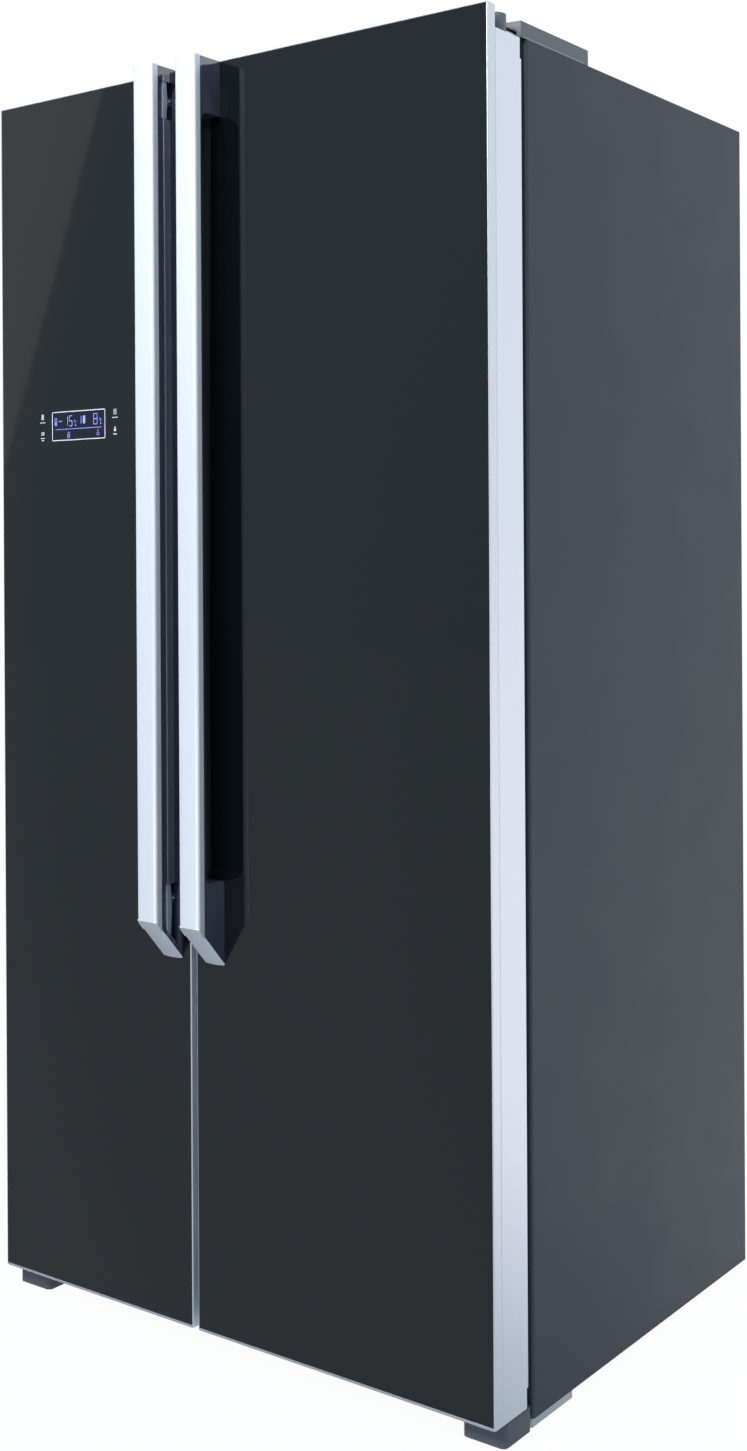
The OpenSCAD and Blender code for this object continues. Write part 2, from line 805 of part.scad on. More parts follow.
// Welded shell on a foot plate, standing on four rubber feet, with its terminal box
module compressor() {
    r = compressor_d / 2;
    color("#26282c") translate([compressor_x, compressor_y, compressor_z]) {
        translate([0, 0, 12]) rotate_extrude() intersection() {
            soft2([-r, 0], [r, compressor_h], min(38, r / 2));
            span2([0, 0], [r, compressor_h]);
        }
        rise(16, 19) soft2([-r - 12, -r + 8], [r + 12, r - 8], 12);
        for (x = [-r, r], y = [-r + 22, r - 22])
            translate([x, y, 0]) cylinder(h = 17, d = 22);
        span([-24, -r - 16, 42], [24, -r + 20, 96]);
        for (x = [-30, 34])
            translate([x, 20, compressor_h]) cylinder(h = 26, d = 8);
    }
}

condenser_z = machine_base_z + 26;
cond_fan_x = 10;
cond_fan_y = y_machine + machine_d / 2 - 4;
cond_fan_z = machine_base_z + 2 + condenser_fan_d / 2 + 18;

module condenser_coil() {
    color("#33363b") translate([cond_fan_x + 65, y_machine + 45, condenser_z])
        rotate([0, 0, 90]) mirror([0, 1, 0])
            finned_coil(machine_d - 90, 6, 28, 3, 34, 6, 8);
}

// Fan shroud plate, and the motor held behind it by struts and a cross bar
module condenser_fan_motor() {
    half = condenser_fan_d / 2 + 14;
    back_x = cond_fan_x - 46;
    color("#33363b") {
        difference() {
            span([cond_fan_x + 8, cond_fan_y - half, machine_base_z + 2],
                 [cond_fan_x + 11, cond_fan_y + half, cond_fan_z + half]);
            bar_x(cond_fan_x, cond_fan_x + 20, cond_fan_y, cond_fan_z, condenser_fan_d + 6);
        }
        for (y = [-half + 5, half - 5])
            bar_x(back_x, cond_fan_x + 9, cond_fan_y + y, cond_fan_z, 7);
        span([back_x - 3, cond_fan_y - half, cond_fan_z - 10],
             [back_x, cond_fan_y + half, cond_fan_z + 10]);
        difference() {
            bar_x(back_x - 1, cond_fan_x - 6, cond_fan_y, cond_fan_z, 46);
            bar_x(cond_fan_x - 22, cond_fan_x, cond_fan_y, cond_fan_z, shaft_d + 2 * pin_fit);
        }
    }
}

module condenser_fan() {
    color("gray") {
        translate([cond_fan_x, cond_fan_y, cond_fan_z]) rotate([0, 90, 0])
            fan(condenser_fan_d, fan_depth, 5);
        bar_x(cond_fan_x - 20, cond_fan_x + 1, cond_fan_y, cond_fan_z, shaft_d);
    }
}

// Tray that catches the melt water, over the warm compressor
module drip_tray() {
    color("#d8dadd")
        tub([compressor_x - 80, compressor_y - 70, machine_h - 34],
            [compressor_x + 80, compressor_y + 76, machine_h - 12], 2);
}

cover_y = y_back - 4;
cover_t = 1.2;
gland_x = -side + 70;
gland_z = machine_base_z + 40;
gland_d = 22;
screw_xs = [-side + 16, 0, side - 16];
screw_zs = [machine_base_z + 14, machine_h - 12];

module machine_cover() {
    color("#7d838a") difference() {
        span([-side + sheet + tie, cover_y, machine_base_z + 3],
             [side - sheet - tie, cover_y + cover_t, machine_h - sheet - tie]);
        for (k = [-1, 0, 1], i = [0:4], j = [-1, 1])
            span([k * 250 + j * 52 - 44, cover_y - 1, machine_base_z + 56 + i * 24],
                 [k * 250 + j * 52 + 44, cover_y + 3, machine_base_z + 62 + i * 24]);
        bar_y(cover_y - 1, cover_y + 3, gland_x, gland_z, gland_d);
        for (x = screw_xs, z = screw_zs)
            bar_y(cover_y - 1, cover_y + 3, x, z, 4.4);
    }
}

module cord_gland() {
    color("#26282c") difference() {
        union() {
            bar_y(cover_y + cover_t, cover_y + cover_t + 2, gland_x, gland_z, gland_d + 8);
            bar_y(cover_y - 14, cover_y + cover_t, gland_x, gland_z, gland_d - 2 * tie);
        }
        bar_y(cover_y - 15, cover_y + 5, gland_x, gland_z, 8.5);
    }
}

module cover_screws() {
    color("silver") for (x = screw_xs, z = screw_zs) {
        bar_y(cover_y + cover_t, cover_y + cover_t + 2, x, z, 9);
        bar_y(cover_y - 8, cover_y + cover_t, x, z, 4);
    }
}

// ---------- Doors ----------

module door_glass(d) {
    span([d[0] + trim_t + tie, y_front, door_lift + cap_t],
         [d[1] - trim_t - tie, y_glass, body_h - 1]);
}

// Side outline of a trim: full height in front, lower behind, notched at its rear ends
module trim_side() {
    notch = [3, 26];
    polygon([
        [y_front, door_lift], [y_inner - notch.x, door_lift], [y_inner - notch.x, door_lift + notch.y],
        [y_inner, door_lift + notch.y], [y_inner, z_rear - notch.y],
        [y_inner - notch.x, z_rear - notch.y], [y_inner - notch.x, z_rear],
        [y_fascia, z_rear], [y_fascia, body_h], [y_front, body_h]
    ]);
}

module door_trims(d) {
    for (x = [d[0], d[1] - trim_t])
        across(x, x + trim_t) trim_side();
}

// Bush for a hinge pin, from z0 to z1, grown by g
module bush(x, z0, z1, g) {
    translate([x, hinge_y, z0]) cylinder(h = z1 - z0, d = pin_d + 8 + 2 * g);
}

module door_end_caps(d, axis_x) {
    x0 = d[0] + trim_t;
    x1 = d[1] - trim_t;
    difference() {
        union() {
            across(x0, x1) polygon([
                [y_front, body_h - 1], [y_front, body_h], [y_fascia, body_h], [y_fascia, z_rear],
                [y_inner, z_rear], [y_inner, z_rear - cap_t], [y_fascia - cap_t, z_rear - cap_t],
                [y_fascia - cap_t, body_h - 1]
            ]);
            span([x0, y_front, door_lift], [x1, y_inner, door_lift + cap_t]);
            bush(axis_x, z_rear - pin_depth - 3, z_rear - cap_t / 2, 0);
            bush(axis_x, door_lift + cap_t / 2, door_lift + pin_depth + 3, 0);
        }
        translate([axis_x, hinge_y, z_rear - pin_depth - 1])
            cylinder(h = pin_depth + 2, d = pin_d + 2 * pin_fit);
        translate([axis_x, hinge_y, door_lift - 1])
            cylinder(h = pin_depth + 2, d = pin_d + 2 * pin_fit);
    }
}

// Outline of the rib round a door's inner panel, shrunk by g on its outside
module dyke_ring(x, g) {
    a = [x[0] + dyke_gap, floor_z + dyke_gap];
    b = [x[1] - dyke_gap, liner_top - dyke_gap];
    difference() {
        span2(a + [g, g], b - [g, g]);
        span2(a + [dyke_w - g, dyke_w - g], b - [dyke_w - g, dyke_w - g]);
    }
}

module door_panel(d, x) {
    difference() {
        union() {
            span([d[0] + trim_t + tie, y_inner - panel_t, door_lift + cap_t + tie],
                 [d[1] - trim_t - tie, y_inner, z_rear - cap_t - tie]);
            along(y_inner - panel_t, y_inner + dyke_d) dyke_ring(x, 0);
        }
        along(y_inner - panel_t - 1, y_inner + dyke_d - panel_t) dyke_ring(x, panel_t);
    }
}

module door_foam(d, x, axis_x) {
    g0 = y_glass + tie;
    g1 = y_inner - panel_t - tie;
    difference() {
        union() {
            across(d[0] + trim_t + tie, d[1] - trim_t - tie) polygon([
                [g0, door_lift + cap_t + tie], [g1, door_lift + cap_t + tie],
                [g1, z_rear - cap_t - tie], [y_fascia - cap_t - tie, z_rear - cap_t - tie],
                [y_fascia - cap_t - tie, body_h - 1 - tie], [g0, body_h - 1 - tie]
            ]);
            along(g1 - 1, y_inner + dyke_d - panel_t - tie) dyke_ring(x, panel_t + tie);
        }
        bush(axis_x, z_rear - pin_depth - 4, z_rear, tie);
        bush(axis_x, door_lift, door_lift + pin_depth + 4, tie);
    }
}

// Magnetic gasket: a rectangular frame; x0 is the door's outer side, x1 its latch side
module door_gasket(x0, x1) {
    out = sign(x1 - x0);
    xs = [x0 + out * gasket_inset, x1 - out * gasket_latch_inset];
    a = [min(xs), door_lift + gasket_inset];
    b = [max(xs), z_rear - gasket_inset];
    along(y_inner, y_case - gasket_gap) difference() {
        span2(a, b);
        span2(a + [gasket_w, gasket_w], b - [gasket_w, gasket_w]);
    }
}

function bin_x(x) = [x[0] + dyke_gap + dyke_w + clear, x[1] - dyke_gap - dyke_w - clear];
function bin_z(i) = bin_z0 + i * (liner_top - dyke_gap - dyke_w - bin_z0) / bin_n;
shallow_z = [floor_z + dyke_gap + dyke_w + 6, upper_drawer_z + 28];

module door_bins(x) {
    bx = bin_x(x);
    for (i = [0:bin_n - 1])
        tub([bx[0], y_inner + tie, bin_z(i)], [bx[1], y_inner + bin_deep, bin_z(i) + bin_h], bin_t);
    for (z = shallow_z)
        tub([bx[0], y_inner + tie, z], [bx[1], y_inner + bin_shallow, z + bin_h], bin_t);
}

freezer_hinge_x = -hinge_x;

module freezer_glass() {
    color("#2c2f37") door_glass(freezer_door);
}

module fridge_glass() {
    color("#2c2f37") door_glass(fridge_door);
}

module freezer_trims() {
    color("#d9dee6") door_trims(freezer_door);
}

module fridge_trims() {
    color("#d9dee6") door_trims(fridge_door);
}

module freezer_end_caps() {
    color("#9aa1ab") door_end_caps(freezer_door, freezer_hinge_x);
}

module fridge_end_caps() {
    color("#9aa1ab") door_end_caps(fridge_door, hinge_x);
}

module freezer_door_panel() {
    color("white") door_panel(freezer_door, freezer_x);
}

module fridge_door_panel() {
    color("white") door_panel(fridge_door, fridge_x);
}

module freezer_gasket() {
    color("#c9ccd1") door_gasket(freezer_door[0], freezer_door[1]);
}

module fridge_gasket() {
    color("#c9ccd1") door_gasket(fridge_door[1], fridge_door[0]);
}

module freezer_bins() {
    color([0.85, 0.92, 0.95, 0.7]) door_bins(freezer_x);
}

// Display and touch module behind the freezer door's glass
display_x = -side + display_in;
display_edge = 8;
display_depth = 12;

module display_block(g) {
    span([display_x - display_edge - g, y_glass + tie - g, display_z - display_edge - g],
         [display_x + display_w + display_edge + g, y_glass + display_depth + g,
          display_z + display_h + display_edge + g]);
}

module display_unit() {
    color("#1b1d22") display_block(0);
}

module freezer_door_foam() {
    color("#e8d9a8") difference() {
        door_foam(freezer_door, freezer_x, freezer_hinge_x);
        display_block(tie);
    }
}

module fridge_door_foam() {
    color("#e8d9a8") door_foam(fridge_door, fridge_x, hinge_x);
}

// The top bin of the fridge door is the dairy box: ears on it carry the lid
dairy_top = bin_z(bin_n - 1) + bin_h;
lid_axis = [y_inner + 9, dairy_top + 5];
lid_pin_d = 5;

module fridge_bins() {
    bx = bin_x(fridge_x);
    color([0.85, 0.92, 0.95, 0.7]) difference() {
        union() {
            door_bins(fridge_x);
            for (x = [bx[0], bx[1] - bin_t])
                span([x, y_inner + 2, dairy_top - 1], [x + bin_t, y_inner + 16, dairy_top + 11]);
        }
        bar_x(bx[0] - 1, bx[1] + 1, lid_axis.x, lid_axis.y, lid_pin_d + 2 * pin_fit);
    }
}

module dairy_lid() {
    bx = bin_x(fridge_x);
    x0 = bx[0] + bin_t + clear;
    x1 = bx[1] - bin_t - clear;
    color([0.75, 0.85, 0.9, 0.6]) {
        span([x0, lid_axis.x, dairy_top + clear], [x1, y_inner + bin_deep, dairy_top + clear + 2.5]);
        bar_x(bx[0] + 0.3, bx[1] - 0.3, lid_axis.x, lid_axis.y, lid_pin_d);
        span([(x0 + x1) / 2 - 40, y_inner + bin_deep - 3, dairy_top + clear],
             [(x0 + x1) / 2 + 40, y_inner + bin_deep, dairy_top + clear + 8]);
    }
}

// ---------- Handles ----------

// Height of the slanted foot's outer face at depth y, raised by up
function foot_line(y, up) = handle_z + handle_foot * (y_front - y) / handle_out + up;
foot_k = norm([handle_out, handle_foot]) / handle_out;

// Side outline of the layer that lies from a to b below the handle's outer face
module layer(a, b) {
    polygon([
        [y_handle + a, body_h], [y_handle + a, foot_line(y_handle + a, a * foot_k)],
        [y_front, foot_line(y_front, a * foot_k)], [y_front, foot_line(y_front, b * foot_k)],
        [y_handle + b, foot_line(y_handle + b, b * foot_k)], [y_handle + b, body_h]
    ]);
}

// Places a handle drawn with its grip side towards +X; k = -1 mirrors it about the split
module at_split(k) {
    translate([split, 0, 0]) mirror([k < 0 ? 1 : 0, 0, 0]) children();
}

grip_x = [handle_in, handle_in + handle_w];

// Side outline of the depth from a to b of the upright part, down to the foot's line raised by up
module upright(a, b, up, top) {
    polygon([
        [y_handle + a, top], [y_handle + a, foot_line(y_handle + a, up)],
        [y_handle + b, foot_line(y_handle + b, up)], [y_handle + b, top]
    ]);
}

// Aluminium strip: the front runs on down the slanted foot, the folded edges only stand on the upright
module handle_strip(k) {
    at_split(k) {
        across(grip_x[0], grip_x[1]) layer(0, strip_t);
        for (x = [grip_x[0], grip_x[1] - strip_t])
            across(x, x + strip_t) upright(strip_t / 2, strip_lip, strip_t / 2 * foot_k, body_h);
    }
}

// Plastic body: closed on the centre side, open to the fingers on the grip side
module handle_body(k) {
    a = strip_lip + tie;
    under = (strip_t + tie) * foot_k;
    top = body_h - clear;
    x0 = grip_x[0] + 0.5;
    x1 = grip_x[1] - 0.5;
    r0 = y_handle + strip_lip + 1.5;
    pocket = 22;
    pocket_y = [r0 + 1, y_front - 4];
    pocket_z = [body_h - grip_top + 4, body_h - 20];
    low_pocket_top = handle_z + grip_bottom - 8;
    at_split(k) difference() {
        union() {
            across(x0, x1) polygon([
                [y_handle + a, top], [y_handle + a, foot_line(y_handle + a, under)],
                [y_front, foot_line(y_front, under)], [y_front, top]
            ]);
            across(grip_x[0] + strip_t + tie, grip_x[1] - strip_t - tie)
                upright(strip_t + tie, a + 1, under, top);
        }
        across(x0 + grip_t, x1 + 1)
            soft2([r0, handle_z + grip_bottom], [y_front + 20, body_h - grip_top], 14);
        across(x0 - 1, x0 + pocket) {
            span2([pocket_y[0], pocket_z[0]], [pocket_y[1], pocket_z[1]]);
            polygon([
                [pocket_y[0], low_pocket_top], [pocket_y[0], foot_line(pocket_y[0], under + 8)],
                [pocket_y[1], foot_line(pocket_y[1], under + 8)], [pocket_y[1], low_pocket_top]
            ]);
        }
    }
}

module freezer_handle_strip() {
    color("#dfe3ea") handle_strip(-1);
}

module fridge_handle_strip() {
    color("#dfe3ea") handle_strip(1);
}

module freezer_handle_body() {
    color("#32343c") handle_body(-1);
}

module fridge_handle_body() {
    color("#32343c") handle_body(1);
}

side_panel_left();
side_panel_right();
top_panel();
back_panel();
base_pan();
mullion_strip();
insulation_foam();
freezer_liner();
fridge_liner();
freezer_shelves();
fridge_shelves();
freezer_back_cover();
fridge_air_duct();
evaporator_coil();
evaporator_fan_motor();
evaporator_fan();
ice_frame();
ice_tray();
ice_box();
freezer_drawer_upper();
freezer_drawer_lower();
crisper_drawer_upper();
crisper_drawer_lower();
humidity_slider();
top_hinges();
hinge_covers();
lower_hinges();
foot_covers();
levelling_foot_left();
levelling_foot_right();
machine_base();
rear_rollers();
compressor();
condenser_coil();
condenser_fan_motor();
condenser_fan();
drip_tray();
machine_cover();
cord_gland();
cover_screws();
freezer_glass();
freezer_trims();
freezer_end_caps();
freezer_door_foam();
freezer_door_panel();
freezer_gasket();
freezer_bins();
freezer_handle_strip();
freezer_handle_body();
display_unit();
fridge_glass();
fridge_trims();
fridge_end_caps();
fridge_door_foam();
fridge_door_panel();
fridge_gasket();
fridge_bins();
fridge_handle_strip();
fridge_handle_body();
dairy_lid();
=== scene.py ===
import json
import math
import bmesh
import bpy
import numpy as np
from mathutils import Matrix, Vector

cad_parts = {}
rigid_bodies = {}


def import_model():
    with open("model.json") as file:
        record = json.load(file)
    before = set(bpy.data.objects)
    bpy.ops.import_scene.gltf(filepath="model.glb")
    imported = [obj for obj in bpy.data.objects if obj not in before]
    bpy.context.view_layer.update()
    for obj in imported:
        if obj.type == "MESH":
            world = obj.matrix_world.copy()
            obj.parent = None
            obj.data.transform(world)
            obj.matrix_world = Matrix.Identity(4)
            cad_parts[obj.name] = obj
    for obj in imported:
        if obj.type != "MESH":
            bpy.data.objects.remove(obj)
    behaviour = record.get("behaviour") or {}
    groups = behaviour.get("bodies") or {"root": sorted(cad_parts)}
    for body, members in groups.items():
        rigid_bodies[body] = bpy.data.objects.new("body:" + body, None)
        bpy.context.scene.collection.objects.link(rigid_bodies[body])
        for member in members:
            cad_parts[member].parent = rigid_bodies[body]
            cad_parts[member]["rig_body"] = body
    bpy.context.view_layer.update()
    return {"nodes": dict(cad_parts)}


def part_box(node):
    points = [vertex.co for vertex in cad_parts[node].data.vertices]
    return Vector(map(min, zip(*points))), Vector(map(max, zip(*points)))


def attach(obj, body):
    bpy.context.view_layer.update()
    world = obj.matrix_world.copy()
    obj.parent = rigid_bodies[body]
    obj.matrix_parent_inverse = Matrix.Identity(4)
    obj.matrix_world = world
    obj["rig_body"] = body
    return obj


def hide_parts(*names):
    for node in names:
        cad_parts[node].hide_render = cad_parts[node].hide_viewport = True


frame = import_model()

scene = bpy.context.scene
cad = frame["nodes"]


# ---- The studio
# A pale floor under a white surround, with a dim room in front and a bright wall behind. Wide lamps
# above light the doors, and a small low one the feet of the handles. The glass mirrors the slanted edge
# of a weak lamp at the left.
scene.view_settings.view_transform = "Standard"

world = bpy.data.worlds.new("studio")
scene.world = world
world.use_nodes = True
sky = world.node_tree
sky.nodes.clear()


def link(tree, a, b):
    """Joins an output socket to an input socket."""
    tree.links.new(a, b)


seen = sky.nodes.new("ShaderNodeBackground")
seen.inputs["Color"].default_value = (1.0, 1.0, 1.0, 1.0)
around = sky.nodes.new("ShaderNodeBackground")
side_of_room = sky.nodes.new("ShaderNodeSeparateXYZ")
link(sky, sky.nodes.new("ShaderNodeTexCoord").outputs["Generated"], side_of_room.inputs[0])
room_tone = sky.nodes.new("ShaderNodeValToRGB")
room_tone.color_ramp.elements[0].position = 0.80
room_tone.color_ramp.elements[0].color = (0.41, 0.47, 0.52, 1.0)
room_tone.color_ramp.elements[1].position = 0.86
room_tone.color_ramp.elements[1].color = (0.98, 1.01, 1.06, 1.0)
half_turn = sky.nodes.new("ShaderNodeMapRange")
half_turn.inputs["From Min"].default_value = -1.0
link(sky, side_of_room.outputs["Y"], half_turn.inputs["Value"])
link(sky, half_turn.outputs["Result"], room_tone.inputs["Fac"])
link(sky, room_tone.outputs["Color"], around.inputs["Color"])
either = sky.nodes.new("ShaderNodeMixShader")
link(sky, sky.nodes.new("ShaderNodeLightPath").outputs["Is Camera Ray"], either.inputs[0])
link(sky, around.outputs[0], either.inputs[1])
link(sky, seen.outputs[0], either.inputs[2])
link(sky, either.outputs[0], sky.nodes.new("ShaderNodeOutputWorld").inputs["Surface"])


def pose_of(x, y, z, at):
    """The matrix of an object at a place, with its three axes along x, y and z."""
    return Matrix([[x[i], y[i], z[i], at[i]] for i in range(3)] + [[0, 0, 0, 1]])


def soft_box(name, centre, facing, upward, size, power, tint):
    """A rectangular lamp at centre that shines along facing.
    size is its width and height, with the height along upward."""
    data = bpy.data.lights.new(name, "AREA")
    data.shape = "RECTANGLE"
    data.size, data.size_y = size
    data.energy = power
    data.color = tint
    facing, upward = (np.array(v, float) / np.linalg.norm(v) for v in (facing, upward))
    across = np.cross(upward, -facing)
    lamp = bpy.data.objects.new(name, data)
    lamp.matrix_world = pose_of(across, upward, -facing, centre)
    scene.collection.objects.link(lamp)


# The slanted edge that the glass mirrors: the direction it runs in, and a point on it.
edge = np.array([0.374, 0.0, 0.927])
on_edge = np.array([-3.339, -3.0, 2.149])
slanted_w, slanted_h, past_point = 3.2, 4.4, 1.0
beside_edge = np.cross(edge, [0.0, -1.0, 0.0])
slanted_centre = on_edge - beside_edge * slanted_w / 2 + edge * (slanted_h / 2 - past_point)
neutral, cool, warm = (1.0, 1.0, 1.0), (0.98, 0.99, 1.0), (1.0, 0.99, 0.97)
soft_box("front_left_box", slanted_centre, (0, 1, 0), edge, (slanted_w, slanted_h), 13.0, warm)
soft_box("front_box", (0.3, -3.6, 4.2), (0, 1, -0.85), (0, 0.85, 1), (2.6, 2.0), 290.0, cool)
soft_box("right_box", (4.6, -1.6, 1.5), (-1, 0.28, -0.08), (0, 0, 1), (2.6, 3.4), 8.0, (0.97, 0.98, 1.0))
soft_box("low_box", (0.3, -2.2, 0.35), (-0.1, 0.8, 0.45), (0, -0.45, 0.8), (1.2, 0.5), 4.0, cool)
soft_box("top_box", (0.4, -1.2, 4.4), (0, 0.2, -1), (0, 1, 0), (3.4, 3.0), 70.0, neutral)

floor_half = 14
floor_corners = [(x * floor_half, y * floor_half, 0) for x, y in ((-1, -1), (1, -1), (1, 1), (-1, 1))]
floor_mesh = bpy.data.meshes.new("floor")
floor_mesh.from_pydata(floor_corners, [], [(0, 1, 2, 3)])
floor = bpy.data.objects.new("floor", floor_mesh)
scene.collection.objects.link(floor)
pale = bpy.data.materials.new("pale_floor")
pale.use_nodes = True
tree = pale.node_tree
matt = tree.nodes["Principled BSDF"]
matt.inputs["Base Color"].default_value = (0.42, 0.43, 0.46, 1.0)
matt.inputs["Roughness"].default_value = 0.9
glow = tree.nodes.new("ShaderNodeEmission")
glow.inputs["Color"].default_value = (1.0, 1.0, 1.0, 1.0)
glow.inputs["Strength"].default_value = 1.02
dim = tree.nodes.new("ShaderNodeEmission")
reach = tree.nodes.new("ShaderNodeSeparateXYZ")
link(tree, tree.nodes.new("ShaderNodeTexCoord").outputs["Object"], reach.inputs[0])
to_wall = tree.nodes.new("ShaderNodeMapRange")
to_wall.inputs["From Min"].default_value = -0.3
to_wall.inputs["From Max"].default_value = 0.6
link(tree, reach.outputs["Y"], to_wall.inputs["Value"])
ground = tree.nodes.new("ShaderNodeValToRGB")
ground.color_ramp.elements[0].color = (0.42, 0.48, 0.53, 1.0)
ground.color_ramp.elements[1].color = (1.02, 1.03, 1.06, 1.0)
link(tree, to_wall.outputs["Result"], ground.inputs["Fac"])
link(tree, ground.outputs["Color"], dim.inputs["Color"])
direct = tree.nodes.new("ShaderNodeMixShader")
direct.inputs[0].default_value = 0.94
link(tree, matt.outputs[0], direct.inputs[1])
link(tree, glow.outputs[0], direct.inputs[2])
lit = tree.nodes.new("ShaderNodeMixShader")
link(tree, tree.nodes.new("ShaderNodeLightPath").outputs["Is Camera Ray"], lit.inputs[0])
link(tree, dim.outputs[0], lit.inputs[1])
link(tree, direct.outputs[0], lit.inputs[2])
link(tree, lit.outputs[0], tree.nodes["Material Output"].inputs["Surface"])
floor_mesh.materials.append(pale)

camera = bpy.data.objects.new("camera", bpy.data.cameras.new("camera"))
scene.collection.objects.link(camera)
scene.camera = camera
camera.data.sensor_width = 36.0
camera.data.lens = 43.17
camera.data.shift_x = -0.0616
camera.data.shift_y = -0.1182
turn, tilt, lean = np.radians([35.13, -0.05, -0.31])
ahead = np.array([-math.sin(turn) * math.cos(tilt), math.cos(turn) * math.cos(tilt), math.sin(tilt)])
level = np.array([math.cos(turn), math.sin(turn), 0.0])
above = np.cross(level, ahead)
to_right = level * math.cos(lean) + above * math.sin(lean)
to_top = -level * math.sin(lean) + above * math.cos(lean)
stand = (1.6457, -2.0816, 1.1129)
camera.matrix_world = pose_of(to_right, to_top, -ahead, stand)


# ---- The painted steel case
# Two side panels folded in at the front, the top, the strip between the compartments and the bottom:
# 1 mm sheet, folded, then painted slate grey with the faint orange peel of a powder coat.
def tone(r, g, b):
    """The linear colour of three display values from 0 to 255."""
    c = np.array([r, g, b]) / 255.0
    return tuple(np.where(c <= 0.04045, c / 12.92, ((c + 0.055) / 1.055) ** 2.4)) + (1.0,)


def effect(name, inputs, outputs):
    """An empty shader node group with float or vector sockets. Returns it with its two end nodes."""
    g = bpy.data.node_groups.new(name, "ShaderNodeTree")
    for label, kind in inputs:
        g.interface.new_socket(label, in_out="INPUT", socket_type=kind)
    for label, kind in outputs:
        g.interface.new_socket(label, in_out="OUTPUT", socket_type=kind)
    return g, g.nodes.new("NodeGroupInput"), g.nodes.new("NodeGroupOutput")


# Fine grain: a fine noise for bumps and a slow one, 40 times as coarse, for drifts in colour and gloss.
grain, grain_in, grain_out = effect(
    "grain",
    [("Vector", "NodeSocketVector"), ("Size", "NodeSocketFloat")],
    [("Height", "NodeSocketFloat"), ("Drift", "NodeSocketFloat")],
)
fine = grain.nodes.new("ShaderNodeTexNoise")
fine.inputs["Detail"].default_value = 3.0
slow = grain.nodes.new("ShaderNodeTexNoise")
slow.inputs["Detail"].default_value = 2.0
coarser = grain.nodes.new("ShaderNodeMath")
coarser.operation = "MULTIPLY"
coarser.inputs[1].default_value = 0.025
link(grain, grain_in.outputs["Size"], coarser.inputs[0])
for noise, size in ((fine, grain_in.outputs["Size"]), (slow, coarser.outputs[0])):
    link(grain, grain_in.outputs["Vector"], noise.inputs["Vector"])
    link(grain, size, noise.inputs["Scale"])
link(grain, fine.outputs["Fac"], grain_out.inputs["Height"])
link(grain, slow.outputs["Fac"], grain_out.inputs["Drift"])

# Settled dust: more on faces that look up, broken up by noise.
dust, dust_in, dust_out = effect(
    "dust",
    [("Vector", "NodeSocketVector"), ("Amount", "NodeSocketFloat")],
    [("Mask", "NodeSocketFloat")],
)
upness = dust.nodes.new("ShaderNodeSeparateXYZ")
link(dust, dust.nodes.new("ShaderNodeNewGeometry").outputs["Normal"], upness.inputs[0])
flat_only = dust.nodes.new("ShaderNodeMapRange")
flat_only.inputs["From Min"].default_value = 0.4
link(dust, upness.outputs["Z"], flat_only.inputs["Value"])
specks = dust.nodes.new("ShaderNodeTexNoise")
specks.inputs["Scale"].default_value = 55.0
specks.inputs["Detail"].default_value = 5.0
link(dust, dust_in.outputs["Vector"], specks.inputs["Vector"])
thick = dust.nodes.new("ShaderNodeMath")
thick.operation = "MULTIPLY"
link(dust, flat_only.outputs["Result"], thick.inputs[0])
link(dust, specks.outputs["Fac"], thick.inputs[1])
amount = dust.nodes.new("ShaderNodeMath")
amount.operation = "MULTIPLY"
link(dust, thick.outputs[0], amount.inputs[0])
link(dust, dust_in.outputs["Amount"], amount.inputs[1])
link(dust, amount.outputs[0], dust_out.inputs["Mask"])


